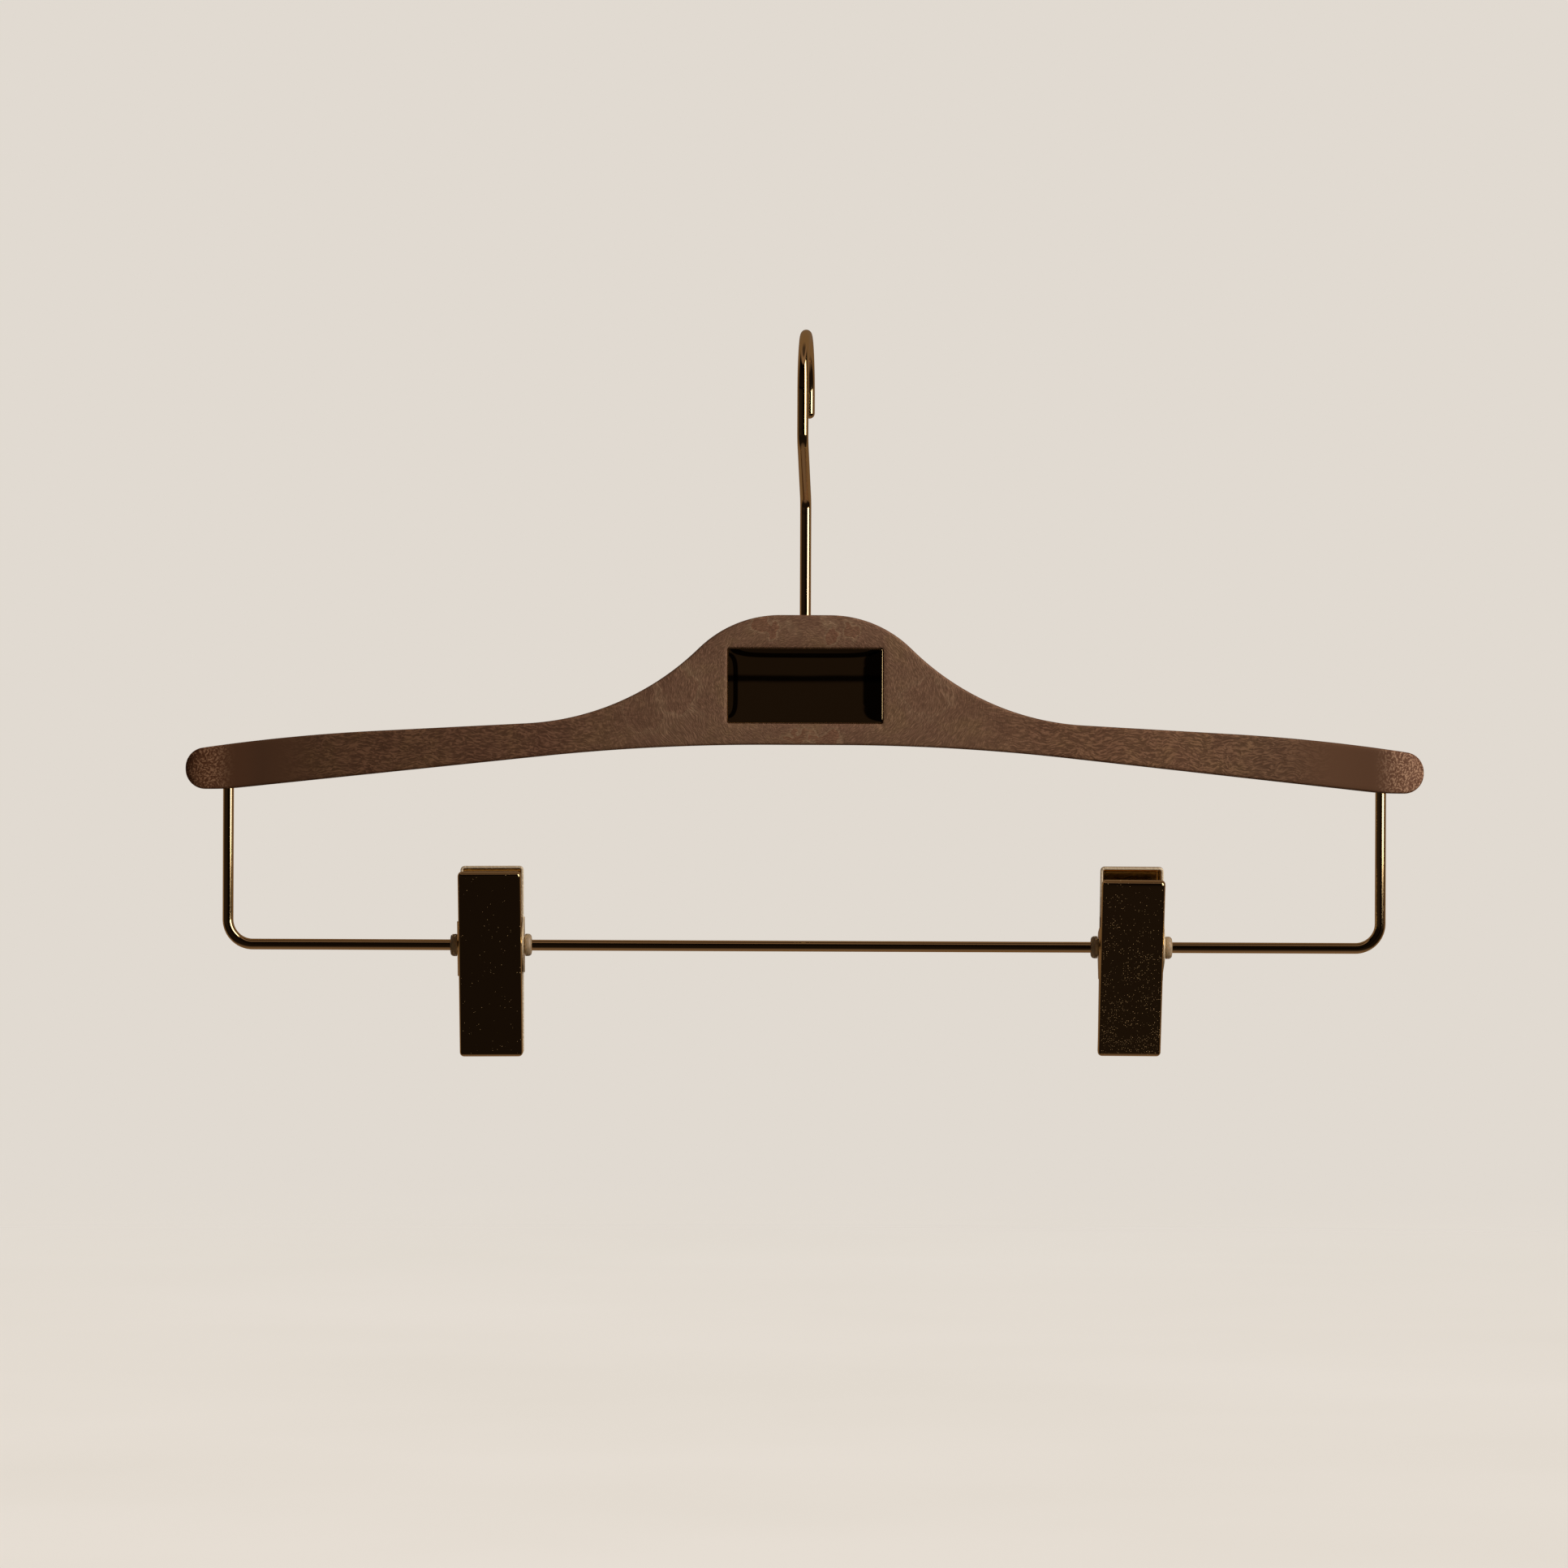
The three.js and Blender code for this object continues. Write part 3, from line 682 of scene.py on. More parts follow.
def bar_points():
    top = BAR_HIGH.z
    leg = top - BAR_Z - BAR_CORNER
    pen = Pen(-BAR_HALF, top, -90, step=0.6)
    pen.line(leg, 16)
    pen.arc(BAR_CORNER, 90)
    pen.line(2 * (BAR_HALF - BAR_CORNER), 60)
    pen.arc(BAR_CORNER, 90)
    pen.line(leg, 16)
    return [(x, 0, z) for x, z in pen.points]


# ---------------------------------------------------------------- hook

HOOK_PLACE = Matrix.Rotation(HOOK_TURNED, 4, "Z")
hook_wire = bent_wire("hook_wire", hook_points(), HOOK_WIRE, GOLD_WIRE, HOOK_PLACE, (False, True))
head_profile = [(0, 0), (1.6, 0.05), (2.5, 0.35), (3.0, 0.9), (3.1, 1.6), (2.9, 2.1), (2.0, 2.2), (0, 2.2)]
hook_head = lathe("hook_head", head_profile, "z", GOLD_WIRE, Matrix.Translation((0, 0, HOOK_LOW.z)))
washer_low, washer_high = (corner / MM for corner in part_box("hook_washer"))
tall = washer_high.z - washer_low.z
washer_profile = [(2.15, 0), (4.15, 0), (4.3, 0.15), (4.3, tall - 0.15), (4.15, tall), (2.15, tall)]
washer_place = Matrix.Translation((0, 0, washer_low.z))
washer = lathe("hook_washer_ring", washer_profile, "z", SPRING_STEEL, washer_place, sharp=50)

# ---------------------------------------------------------------- body


def body_edges():
    """Dense points of the right half's top edge and underside, from the middle to the tip's arc."""
    top = Pen(0, 0, 0)
    top.line(8, 8).arc(37.5, -44.5).arc(85.8, 41.4).line(48.9, 48).arc(600, -5.35)
    tip = Pen(*top.at, math.degrees(top.heading), step=0.35)
    tip.arc(TIP_ROUND, -171.55)
    under = Pen(*tip.at, 180)
    under.line(1.7, 3).arc(80, -6.16).line(98.4, 98).arc(688, 6.16)
    under.line(under.at[0], 10)
    return top.points, under.points[::-1]


def half_thickness(x):
    """The body thins towards each tip in a quarter ellipse."""
    start = BODY_HALF - TIP_TAPER
    t = min(max((abs(x) - start) / TIP_TAPER, 0.0), 1.0)
    return TIP_HALF + (THICK - TIP_HALF) * math.sqrt(1 - t * t)


def body_rungs():
    """Pairs of edge points with their outward directions, from the middle to the end of a tip."""
    top, under = body_edges()
    tx, tz = np.array(top).T
    ux, uz = np.array(under).T
    start = under[-1][0]
    rungs = []
    for x in np.concatenate([np.linspace(0, 96, 65), np.linspace(96, start, 60)[1:]]):
        pair = []
        for xs, zs, way in ((tx, tz, 1), (ux, uz, -1)):
            z = np.interp(x, xs, zs)
            slope = 0.0 if x < 0.1 else (np.interp(x + 0.8, xs, zs) - np.interp(x - 0.8, xs, zs)) / 1.6
            length = math.hypot(slope, 1)
            pair.append(((x, z), (-slope / length * way, way / length)))
        rungs.append(pair)
    lean = math.radians(TIP_LEAN)
    centre = (top[-1][0] - TIP_ROUND * math.sin(lean), top[-1][1] - TIP_ROUND * math.cos(lean))
    for i in range(1, 19):
        angle = math.radians(TIP_LEAN + (90 - TIP_LEAN) * i / 18)
        low_angle = math.radians(90 * i / 18)
        outs = ((math.sin(angle), math.cos(angle)), (math.sin(low_angle), -math.cos(low_angle)))
        rungs.append([((centre[0] + TIP_ROUND * x, centre[1] + TIP_ROUND * z), (x, z)) for x, z in outs])
    return rungs


RUNGS = body_rungs()
BODY_FIT = BODY_HALF / RUNGS[-1][0][0][0]


def body_ring(pair, flip):
    """One closed ring round the body at a rung: front face, underside, back face, top edge."""
    ring = []
    across = 12
    for face, corners in ((-1, pair), (1, pair[::-1])):
        arcs = []
        for (x, z), (nx, nz) in corners:
            arc = []
            for i in range(6):
                bend = math.radians(90 * i / 5)
                back = EDGE * (1 - math.cos(bend))
                y = half_thickness(x) - EDGE + EDGE * math.sin(bend)
                arc.append((x - nx * back, face * y, z - nz * back))
            arcs.append(arc)
        (x0, z0), (x1, z1) = [(x - nx * EDGE, z - nz * EDGE) for (x, z), (nx, nz) in corners]
        between = []
        for i in range(1, across):
            x = x0 + (x1 - x0) * i / across
            between.append((x, face * half_thickness(x), z0 + (z1 - z0) * i / across))
        ring += arcs[0] + between + arcs[1][::-1]
    side = -BODY_FIT if flip else BODY_FIT
    return [(x * side, y, z + BODY_TOP) for x, y, z in ring]


def body_shell():
    rings = [body_ring(pair, True) for pair in RUNGS[:0:-1]] + [body_ring(pair, False) for pair in RUNGS]
    verts, faces = loft(rings, cap=False)
    return make_object("body_shell", verts, faces, PEARL, sharp=40)


body = body_shell()
gap = Vector((RECESS_GAP, 0, RECESS_GAP))
recess_low, recess_high = PLATE_LOW - gap, PLATE_HIGH + gap
recess_rings = []
for depth, flare in ((-2, 0.25), (0, 0.25), (0.08, 0.1), (0.25, 0), (RECESS_DEPTH, 0)):
    y = depth - THICK
    x0, z0, x1, z1 = recess_low.x - flare, recess_low.z - flare, recess_high.x + flare, recess_high.z + flare
    recess_rings.append([(x, y, z) for x, z in rounded_rectangle(x0, z0, x1, z1, 0.8 + flare)])
recess = make_object("recess_cutter", *loft(recess_rings), PEARL)
pocket_ring = rounded_rectangle(-POCKET_HALF, POCKET_TOP - POCKET_TALL, POCKET_HALF, POCKET_TOP, 0.5)
pocket_rings = [[(x, y, z) for x, z in pocket_ring] for y in (-THICK - 1, -THICK + POCKET_DEEP)]
pocket = make_object("pocket_cutter", *loft(pocket_rings), PEARL)
bore = rod("bore_cutter", HOOK_WIRE / 2 + BORE_GAP, POCKET_TOP - 1, BODY_TOP + 2, "z", PEARL)
sockets = []
for end in (-1, 1):
    place = Matrix.Translation((end * BAR_HALF, 0, 0))
    reach = (BODY_LOW.z - 2, BAR_HIGH.z + 0.3)
    sockets.append(rod("socket_cutter", BAR_WIRE / 2 + SOCKET_GAP, *reach, "z", PEARL, place))
cut(body, [recess, pocket, bore, *sockets], sharp=40)

# ---------------------------------------------------------------- name plate and tape


def name_plate():
    """A bright plate with a rolled edge: almost flat, falling away near its edges."""
    half_x = PLATE_HIGH.x
    mid_z = (PLATE_LOW.z + PLATE_HIGH.z) / 2
    half_z = (PLATE_HIGH.z - PLATE_LOW.z) / 2
    front, back = PLATE_LOW.y, PLATE_HIGH.y
    roll, fall, bow = 0.14, 0.22, 0.10

    def face(x, z):
        u, v = x / half_x, z / half_z
        return front + fall * (1 - (1 - u**6) * (1 - v**6)) + bow * v * v

    def ring(inset, drop):
        """Points round the plate at an inset, a given drop behind its face."""
        radius = max(0.8 - inset, 0.12)
        corners = rounded_rectangle(inset - half_x, inset - half_z, half_x - inset, half_z - inset, radius, 4)
        points = []
        for i, (x0, z0) in enumerate(corners):
            x1, z1 = corners[(i + 1) % len(corners)]
            steps = 24 if i % 5 == 4 else 1
            for k in range(steps):
                x, z = x0 + (x1 - x0) * k / steps, z0 + (z1 - z0) * k / steps
                points.append((x, min(face(x, z) + drop, back), z + mid_z))
        return points

    rings = [[(x, back, z) for x, _, z in ring(0.2, 0)], [(x, back - 0.2, z) for x, _, z in ring(0, 0)]]
    for i in range(7):
        bend = math.radians(90 * i / 6)
        rings.append(ring(roll * (1 - math.cos(bend)), roll * (1 - math.sin(bend))))
    inset = roll
    for i in range(22):
        inset += 0.2 + 0.035 * i
        rings.append(ring(min(inset, half_z - 0.2), 0))
    verts, faces = loft(rings)
    return make_object("name_plate_sheet", verts, faces, GOLD_NAME_PLATE, sharp=50)


plate = name_plate()
tape_low, tape_high = (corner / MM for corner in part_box("adhesive_pad"))
tape_ring = rounded_rectangle(tape_low.x, tape_low.z, tape_high.x, tape_high.z, 1.0)
tape_depths = (tape_low.y, (tape_low.y + tape_high.y) / 2, tape_high.y)
tape = make_object("tape_sheet", *loft([[(x, y, z) for x, z in tape_ring] for y in tape_depths]), TAPE)
bar = bent_wire("bar_wire", bar_points(), BAR_WIRE, GOLD_WIRE)

for piece, body_name, node_names, slot_name in [
    (hook_wire, "hook", ["hook"], "gold_plated_steel"),
    (hook_head, "hook", [], "gold_plated_steel"),
    (washer, "hook", ["hook_washer"], "plain_steel"),
    (body, "hanger", ["hanger_body"], "pearl_bronze_plastic"),
    (plate, "hanger", ["name_plate"], "gold_plated_steel"),
    (tape, "hanger", ["adhesive_pad"], "foam_tape"),
    (bar, "hanger", ["trouser_bar"], "gold_plated_steel"),
]:
    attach(piece, body_name)
    if node_names:
        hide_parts(*node_names)

# ---------------------------------------------------------------- clips


def ear(low, finish):
    """One ear of a stamping: it leaves the rim flush, sets over by EAR_SET, and narrows to a round nose."""
    rim_edge = RIM - FACE
    lean = math.acos(EAR / math.hypot(EAR_FOOT, rim_edge))
    nose = math.atan2(EAR_FOOT, rim_edge) - lean
    root = EAR_ROOT - FACE
    stations = [(root + (rim_edge - root) * i / 8, EAR_FOOT) for i in range(9)]
    for i in range(25):
        angle = nose * (1 - i / 24.5)
        stations.append((EAR * math.cos(angle), EAR * math.sin(angle)))
    bevel = 0.1
    rings = []
    for y, half in stations:
        risen = min(max((y - root) / 0.9, 0), 1)
        x0 = low + 0.03 - (EAR_SET + 0.03) * risen * risen * (3 - 2 * risen)
        x1 = x0 + SHEET
        half = max(half, 2 * bevel)
        corners = [(x0 + bevel, -half), (x1 - bevel, -half), (x1, bevel - half), (x1, half - bevel)]
        corners += [(x1 - bevel, half), (x0 + bevel, half), (x0, half - bevel), (x0, bevel - half)]
        rings.append([(x, y, z) for x, z in corners])
    return make_object("ear", *loft(rings), finish, sharp=50)


def stamped_plate(name, place, finish):
    """A shallow tray of sheet steel with a folded rim, and two set-over ears with a hole for the bushes."""

    def ring(inset, y, radius):
        points = rounded_rectangle(
            inset - CLIP_HALF, inset - JAW, CLIP_HALF - inset, HANDLE - inset, max(radius, 0.15), 8
        )
        return [(x, y, z) for x, z in points]

    rings = []
    for inset in (8.0, 4.0, 1.8):
        rings.append(ring(inset, -FACE, PLATE_CORNER))
    for i in range(9):
        bend = math.radians(90 * i / 8)
        inset = FOLD * (1 - math.sin(bend))
        rings.append(ring(inset, -FACE + FOLD * (1 - math.cos(bend)), PLATE_CORNER - inset))
    rings.append(ring(0, RIM - FACE - 0.1, PLATE_CORNER))
    rings.append(ring(0.1, RIM - FACE, PLATE_CORNER - 0.1))
    rings.append(ring(SHEET - 0.1, RIM - FACE, PLATE_CORNER - SHEET + 0.1))
    rings.append(ring(SHEET, RIM - FACE - 0.1, PLATE_CORNER - SHEET))
    for i in range(5):
        bend = math.radians(90 * i / 4)
        inset = SHEET + (FOLD - SHEET) * (1 - math.cos(bend))
        rings.append(ring(inset, SHEET - FACE + (FOLD - SHEET) * (1 - math.sin(bend)), PLATE_CORNER - SHEET))
    for inset in (1.8, 4.0, 8.0):
        rings.append(ring(inset, SHEET - FACE, 0.6))
    verts, faces = loft(rings)
    tray = make_object(name, verts, faces, finish, sharp=50)
    wide = CLIP_HALF + 1
    gate_ring = [(-wide, -EAR_FOOT), (wide, -EAR_FOOT), (wide, EAR_FOOT), (-wide, EAR_FOOT)]
    gate_rings = [[(x, y, z) for x, z in gate_ring] for y in (RIM_CUT - FACE, 0)]
    gate = make_object("gate_cutter", *loft(gate_rings), finish)
    cut(tray, [gate], sharp=50)
    cut(tray, [ear(low, finish) for low in (-CLIP_HALF, CLIP_HALF - SHEET)], "UNION", sharp=50)
    cut(tray, [rod("pivot_cutter", BUSH_NECK + 0.2, -CLIP_HALF - 2, CLIP_HALF + 2, "x", finish)], sharp=50)
    tray.data.materials.append(GOLD_EDGE)
    for face in tray.data.polygons:
        at, way = face.center / MM, face.normal
        on_rim = way.y > 0.4 and at.y > RIM_CUT - FACE - 0.05
        on_ear = abs(way.x) < 0.3 and abs(at.z) < EAR_FOOT + 0.1 and at.y > RIM_CUT - FACE + 0.1
        if (on_rim or on_ear) and abs(at.x) > CLIP_HALF - SHEET - 0.8 or on_rim and at.y > RIM - FACE - 0.15:
            face.material_index = 1
    tray.data.transform(in_metres(place))
    return tray


def rib_tree():
    """Geometry nodes: grip ribs laid side by side down the face of a jaw pad."""
    sizes = {"Rib count": "Int", "Rib radius": "Float", "Rib length": "Float"}
    tree, given = shape_tree("grip ribs on a pad", {**sizes, "First rib": "Vector", "Rib spacing": "Vector"})
    row = {"Count": given["Rib count"], "Start Location": given["First rib"], "Offset": given["Rib spacing"]}
    places = add(tree, "GeometryNodeMeshLine", row)
    round_bar = {"Vertices": 20, "Radius": given["Rib radius"], "Depth": given["Rib length"]}
    rib = add(tree, "GeometryNodeMeshCylinder", round_bar)
    across = {"Geometry": rib, "Rotation": (0, math.pi / 2, 0)}
    lying = add(tree, "GeometryNodeTransform", across)
    laid = add(tree, "GeometryNodeInstanceOnPoints", {"Points": places, "Instance": lying})
    joined = add(tree, "GeometryNodeJoinGeometry", {0: laid})
    tree.links.new(given["Geometry"], joined.inputs[0])
    return finish_tree(tree, joined, given)


RIB_TREE = rib_tree()
PAD_HALF = 8.6
PAD_TOP = -21.0
PAD_BOTTOM = -34.0


def jaw_pad(name, place):
    """A wedge of rubber with ribs across it; its face meets the other pad's on the clip's middle plane."""
    lean = math.tan(SPLAY)
    rib = 0.45
    back = SHEET - FACE + 0.1
    profile = [
        (back, PAD_BOTTOM + 0.3),
        (back + 0.3, PAD_BOTTOM),
        (PAD_BOTTOM * lean - 0.15 - rib - 0.3, PAD_BOTTOM),
        (PAD_BOTTOM * lean - 0.15 - rib, PAD_BOTTOM + 0.3),
        (PAD_TOP * lean - 0.15 - rib, PAD_TOP - 0.3),
        (PAD_TOP * lean - 0.15 - rib - 0.3, PAD_TOP),
        (back + 0.3, PAD_TOP),
        (back, PAD_TOP - 0.3),
    ]
    middle_y = sum(y for y, _ in profile) / len(profile)
    middle_z = sum(z for _, z in profile) / len(profile)
    rings = []
    for x, keep in ((-PAD_HALF, 0.9), (0.3 - PAD_HALF, 1.0), (PAD_HALF - 0.3, 1.0), (PAD_HALF, 0.9)):
        shrunk = [(middle_y + (y - middle_y) * keep, middle_z + (z - middle_z) * keep) for y, z in profile]
        rings.append([(x, y, z) for y, z in shrunk])
    holder = make_object(name + " block", *loft(rings), RUBBER)
    count = 11
    spacing = (PAD_TOP - PAD_BOTTOM - 1.6) / (count - 1)
    values = {
        "Rib count": count,
        "First rib": Vector((0, (PAD_BOTTOM + 0.8) * lean - 0.15 - rib, PAD_BOTTOM + 0.8)) * MM,
        "Rib spacing": Vector((0, spacing * lean, spacing)) * MM,
        "Rib radius": rib * MM,
        "Rib length": 2 * (PAD_HALF - 0.4) * MM,
        "Finish": RUBBER,
    }
    bm = apply_tree(holder, RIB_TREE, values)
    bm.transform(in_metres(place))
    return finish_mesh(name, bm, RUBBER, 40)


def flanged_bush(name, place):
    """Half of the clip's bearing: a domed flange outside the ear and a neck that runs to the middle."""
    face = CLIP_HALF + EAR_SET + NEST + 0.3
    profile = [
        (BUSH_BORE, 0.5),
        (BUSH_BORE + 0.15, 0.3),
        (BUSH_NECK, 0.4),
        (BUSH_NECK, face - 0.15),
        (BUSH_NECK + 0.15, face),
        (BUSH_FLANGE - 0.12, face),
        (BUSH_FLANGE, face + 0.15),
        (BUSH_FLANGE, face + 0.95),
    ]
    dome = BUSH_END - face - 1.0
    for i in range(1, 7):
        bend = math.radians(90 * i / 6)
        profile.append((BUSH_FLANGE - 1 + math.cos(bend), face + 0.95 + dome * math.sin(bend)))
    profile += [(BUSH_BORE + 0.15, BUSH_END), (BUSH_BORE, BUSH_END - 0.15)]
    return lathe(name, profile, "x", NYLON, place, sharp=50)


def spring_points():
    """From the front handle's leg, round the bushes, to the back handle's leg."""
    radius, turns, pitch, leg, reach = 4.2, 4.5, 1.75, 17.5, 7.0
    half = turns * pitch / 2
    steps = int(turns * 40)
    points = []
    for i in range(13):
        t = i / 12
        points.append((-half, -reach + (reach - radius) * t, leg * (1 - t)))
    for i in range(1, steps):
        angle = math.pi + TAU * turns * i / steps
        points.append((-half + 2 * half * i / steps, radius * math.cos(angle), radius * math.sin(angle)))
    for i in range(13):
        t = i / 12
        points.append((half, radius + (reach - radius) * t, leg * t))
    return points


def clip_place(pivot):
    """Where a clip sits: its pivot's place, and the turn and lean that the pivot's axis shows."""
    axis = Vector(pivot["axis"]).normalized()
    turned = math.atan(-axis.y / axis.z)
    lean = math.asin(-axis.z / math.cos(turned))
    at = Matrix.Translation(Vector(pivot["pos_m"]) / MM)
    return at @ Matrix.Rotation(turned, 4, "X") @ Matrix.Rotation(lean, 4, "Y")


# The share of dust grains at a plate's top and at its bottom: the right clip's front is the dusty one.
DUST_SHARES = {"left_clip_front": (0.015, 0.03), "right_clip_front": (0.04, 0.32)}
DUST_SPACING = 0.5 * MM

for side in ("left", "right"):
    clip = f"{side}_clip"
    pivot = next(j for j in frame["joints"] if j["name"] == f"{clip}_open")
    place = clip_place(pivot)
    nested = Matrix.Translation((-NEST, 0, 0))
    front_place = place @ Matrix.Rotation(SPLAY, 4, "X") @ nested
    back_place = place @ Matrix.Rotation(-SPLAY, 4, "X") @ Matrix.Rotation(math.pi, 4, "Z") @ nested
    middle = Vector(pivot["pos_m"])
    for which, half_place in (("front", front_place), ("back", back_place)):
        worn = (*DUST_SHARES.get(f"{clip}_{which}", (0.01, 0.01)), DUST_SPACING)
        title = f"bright gold plated sheet, {side} {which}"
        finish = gold_plate(title, 0.08, 0.012 * MM, 14 * MM, (middle, *worn))
        sheet = stamped_plate(f"{clip}_{which}_stamping", half_place, finish)
        pad = jaw_pad(f"{clip}_{which}_ribbed_pad", half_place)
        for piece, node, slot_name in (
            (sheet, f"{clip}_{which}_plate", "gold_plated_steel"),
            (pad, f"{clip}_{which}_pad", "pad_rubber"),
        ):
            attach(piece, f"{clip}_{which}")
            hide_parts(node)
    for which, turn in (("left", math.pi), ("right", 0.0)):
        bush = flanged_bush(f"{clip}_{which}_flanged_bush", place @ Matrix.Rotation(turn, 4, "Z"))
        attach(bush, f"{clip}_bushes")
        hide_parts(f"{clip}_{which}_bush")
    spring = bent_wire(f"{clip}_torsion_spring", spring_points(), 1.5, SPRING_STEEL, place, (True, True), 20)
    reach = Vector(pivot["axis"]).normalized() * 3.1 * MM
    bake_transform(spring)
    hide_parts(f"{clip}_spring")

# ---------------------------------------------------------------- studio

# In metres, degrees and watts.
FLOOR = -0.75
FADE_FROM, FADE_TO = 4.0, 9.0
KEY_AZIMUTH = 54
KEY_DISTANCE = 1.1
KEY_WIDTH = 0.58
KEY_LOW, KEY_HIGH = -0.18, 1.2
KEY_POWER = 8
SPILL_POWER = 8.5
WASH_POWER = 1755
WASH_SIZE = 24
AMBIENT = 0.06


def studio_floor():
    """A wide pale floor of matt painted board, which fades into the backdrop far from the hanger."""
    material, tree, shader, coords = new_material("matt painted studio board")
    cloud = add(tree, "ShaderNodeTexNoise", {"Vector": coords, "Scale": 1.2, "Detail": 3.0})
    mottle(tree, shader, cloud, [(0.3, "#e3ddd5"), (0.7, "#e7e1da")])
    plug(tree, shader, {"Roughness": 0.9})
    away = add(tree, "ShaderNodeVectorMath", {0: coords}, operation="LENGTH").outputs["Value"]
    reach = {"Value": away, "From Min": FADE_FROM, "From Max": FADE_TO}
    fade = add(tree, "ShaderNodeMapRange", reach, interpolation_type="SMOOTHSTEP")
    below = add(tree, "ShaderNodeNewGeometry").outputs["Backfacing"]
    clear = add(tree, "ShaderNodeMath", {0: fade, 1: below}, operation="MAXIMUM")
    nothing = add(tree, "ShaderNodeBsdfTransparent")
    mixed = add(tree, "ShaderNodeMixShader", {0: clear, 1: shader, 2: nothing})
    plug(tree, tree.nodes["Material Output"], {0: mixed})
    bpy.ops.mesh.primitive_circle_add(vertices=96, radius=10, fill_type="NGON", location=(0, 0, FLOOR))
    floor = bpy.context.object
    floor.name = "studio_floor"
    floor.data.materials.append(material)
    floor.visible_glossy = False
    floor.visible_diffuse = False


def panel(name, size, power, color, at, away):
    """A soft rectangular light at a place, shining against the direction away."""
    light = bpy.data.lights.new(name, "AREA")
    light.shape = "RECTANGLE"
    light.size, light.size_y = size
    light.energy = power
    light.color = linear(color)[:3]
    lamp = bpy.data.objects.new(name, light)
    bpy.context.scene.collection.objects.link(lamp)
    lamp.location = at
    lamp.rotation_euler = Vector(away).to_track_quat("Z", "Y").to_euler()
    return lamp


def studio_lights():
    """One tall soft light to the right of the lens, its spill, and a wide one that only the floor sees."""
    azimuth = math.radians(KEY_AZIMUTH)
    away = Vector((math.sin(azimuth), -math.cos(azimuth), 0))
    at = away * KEY_DISTANCE + Vector((0, 0, (KEY_LOW + KEY_HIGH) / 2))
    size = (KEY_WIDTH, KEY_HIGH - KEY_LOW)
    panel("key", size, KEY_POWER, "#fff1e4", at, away)
    spill = panel("key_spill", size, SPILL_POWER, "#fff1e4", at, away)
    spill.visible_glossy = False
    wash = panel("floor_wash", (WASH_SIZE, WASH_SIZE), WASH_POWER, "#fffefb", (0, 0, FLOOR + 0.25), (0, 0, 1))
    wash.visible_camera = False
    wash.visible_glossy = False


# What polished metal mirrors of the room in front: brightness at each elevation in degrees, over
# the whole height and then at eye level, and a fifth of its share at each azimuth.
ROOM = [(-90, 0.15), (-65, 0.10), (-52, 0.04), (-47, 0.011), (-25, 0.008), (-9, 0.010)]
ROOM += [(50, 0.001), (54, 0.2), (64, 0.2), (70, 0.05)]
ROOM_AT_EYE_LEVEL = [(-9, 0.0105), (1.02, 0.0105), (1.12, 0.001), (1.4, 0.001), (1.5, 0.010), (5.3, 0.010)]
ROOM_AT_EYE_LEVEL += [(5.6, 0.001), (9, 0.001)]
AROUND = [(-100, 0.24), (-50, 0.38), (-12, 0.2), (12, 0.02), (25, 0.02), (100, 1.0)]
AROUND_LENS = [(-4.6, 0.2), (-4.5, 0.02), (-3.4, 0.02), (-3.3, 0.2), (2.0, 0.2), (2.2, 0.02)]


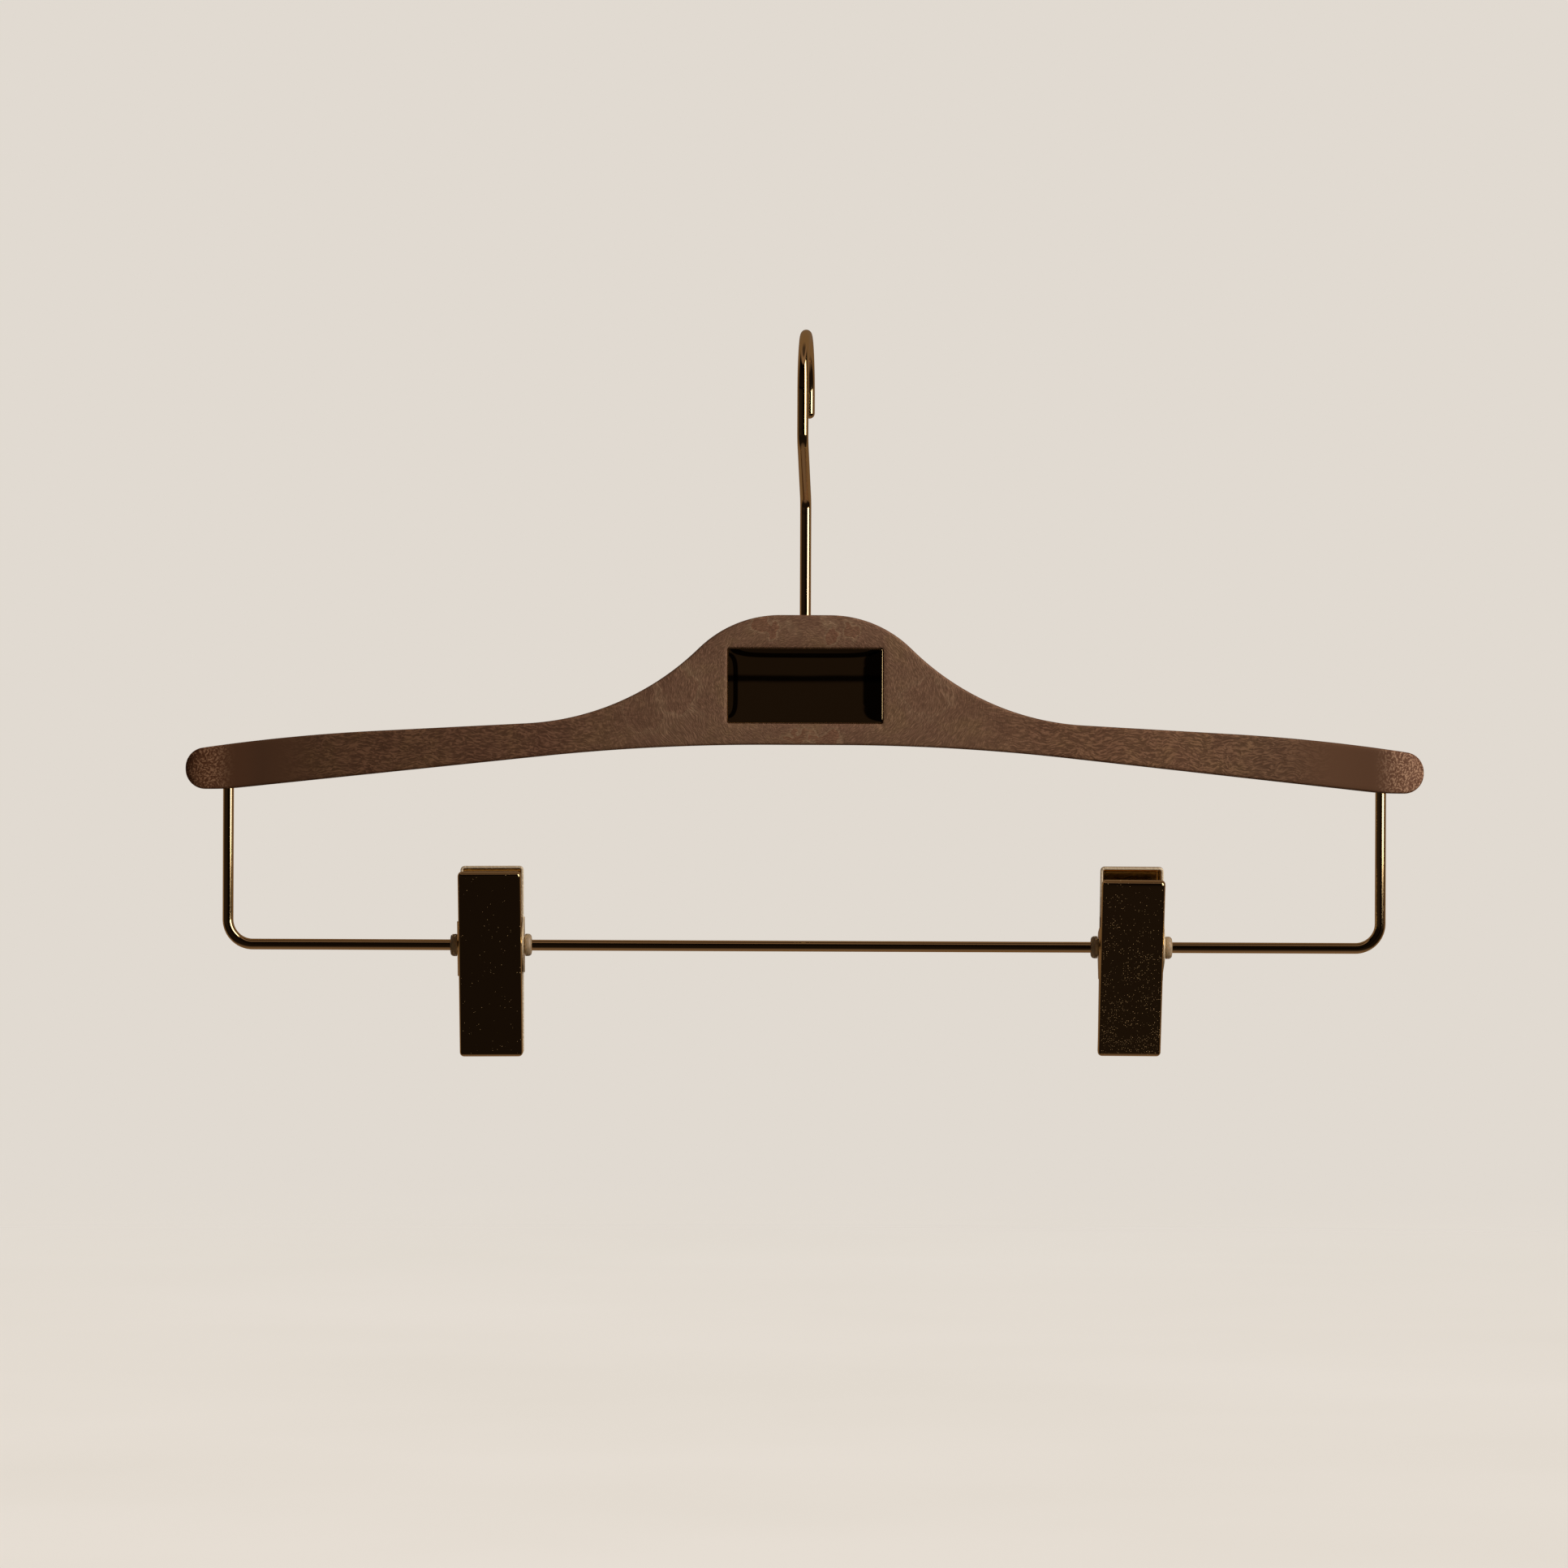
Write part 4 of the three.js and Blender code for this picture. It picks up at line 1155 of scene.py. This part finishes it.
def studio_world():
    """A pale backdrop to the eye; in reflections, a dark room in front and a warm wall behind."""
    world = bpy.data.worlds.new("studio")
    bpy.context.scene.world = world
    world.use_nodes = True
    tree = world.node_tree
    tree.nodes.clear()
    coords = add(tree, "ShaderNodeTexCoord").outputs["Generated"]
    split = add(tree, "ShaderNodeSeparateXYZ", {0: coords})
    height = add(tree, "ShaderNodeMath", {0: split.outputs["Z"]}, operation="ARCSINE")
    ahead = add(tree, "ShaderNodeMath", {0: split.outputs["Y"], 1: -1.0}, operation="MULTIPLY")
    turned = add(tree, "ShaderNodeMath", {0: split.outputs["X"], 1: ahead}, operation="ARCTAN2")

    def brightness(angle, low, high, table):
        """A table of brightness by angle in degrees, read between low and high."""
        low, high = math.radians(low), math.radians(high)
        place = add(tree, "ShaderNodeMapRange", {"Value": angle, "From Min": low, "From Max": high})
        stops = [((math.radians(at) - low) / (high - low), value) for at, value in table]
        return add(tree, "ShaderNodeValToRGB", {"Fac": place}, stops=stops)

    def within(angle, limit):
        size = add(tree, "ShaderNodeMath", {0: angle}, operation="ABSOLUTE")
        return add(tree, "ShaderNodeMath", {0: size, 1: math.radians(limit)}, operation="LESS_THAN")

    far = brightness(height, -90, 90, ROOM)
    near = brightness(height, -9, 9, ROOM_AT_EYE_LEVEL)
    wide = brightness(turned, -180, 180, AROUND)
    ahead_only = brightness(turned, -12, 12, AROUND_LENS)
    sides = {0: within(turned, 12), 6: wide, 7: ahead_only}
    around = add(tree, "ShaderNodeMix", sides, data_type="RGBA").outputs[2]
    level = {0: 1.0, 6: near, 7: around}
    uneven = add(tree, "ShaderNodeMix", level, data_type="RGBA", blend_type="MULTIPLY").outputs[2]
    fivefold = add(tree, "ShaderNodeVectorMath", {0: uneven, "Scale": 5.0}, operation="SCALE")
    heights = {0: within(height, 9), 6: far, 7: fivefold}
    lit = add(tree, "ShaderNodeMix", heights, data_type="RGBA").outputs[2]
    brown = add(tree, "ShaderNodeVectorMath", {0: lit, 1: (1.0, 0.64, 0.47)}, operation="MULTIPLY")
    behind = add(
        tree, "ShaderNodeMapRange", {"Value": split.outputs["Y"], "From Min": 0.0, "From Max": 0.25}
    )
    room = add(
        tree, "ShaderNodeMix", {0: behind, 6: brown, 7: (0.16, 0.10, 0.06, 1)}, data_type="RGBA"
    ).outputs[2]
    path = add(tree, "ShaderNodeLightPath")
    seen = add(tree, "ShaderNodeBackground", {"Color": linear("#e1dad1"), "Strength": 1.0})
    soft = add(tree, "ShaderNodeBackground", {"Color": linear("#ffe0c4"), "Strength": AMBIENT})
    mirrored = add(tree, "ShaderNodeBackground", {"Color": room, "Strength": 1.0})
    glossy = {0: path.outputs["Is Glossy Ray"], 1: soft, 2: mirrored}
    unseen = add(tree, "ShaderNodeMixShader", glossy)
    # The backdrop also shows through the milky bushes.
    rays = {0: path.outputs["Is Camera Ray"], 1: path.outputs["Is Transmission Ray"]}
    straight = add(tree, "ShaderNodeMath", rays, operation="MAXIMUM")
    both = add(tree, "ShaderNodeMixShader", {0: straight, 1: unseen, 2: seen})
    add(tree, "ShaderNodeOutputWorld", {0: both})


def camera():
    """A long lens, level with the clips' handles and square to the hanger."""
    lens = bpy.data.cameras.new("camera")
    made = bpy.data.objects.new("camera", lens)
    bpy.context.scene.collection.objects.link(made)
    bpy.context.scene.camera = made
    distance = 2200.0
    frame_width = 505.44
    lens.sensor_width = 36.0
    lens.lens = lens.sensor_width * distance / frame_width
    lens.clip_end = 100.0
    made.location = Vector((-6.67, -distance - THICK, BODY_TOP - 54.5)) * MM
    made.rotation_euler = (math.radians(90), math.radians(-0.23), 0)
    return made


studio_floor()
studio_lights()
studio_world()
camera()
bpy.context.scene.view_settings.view_transform = "Standard"
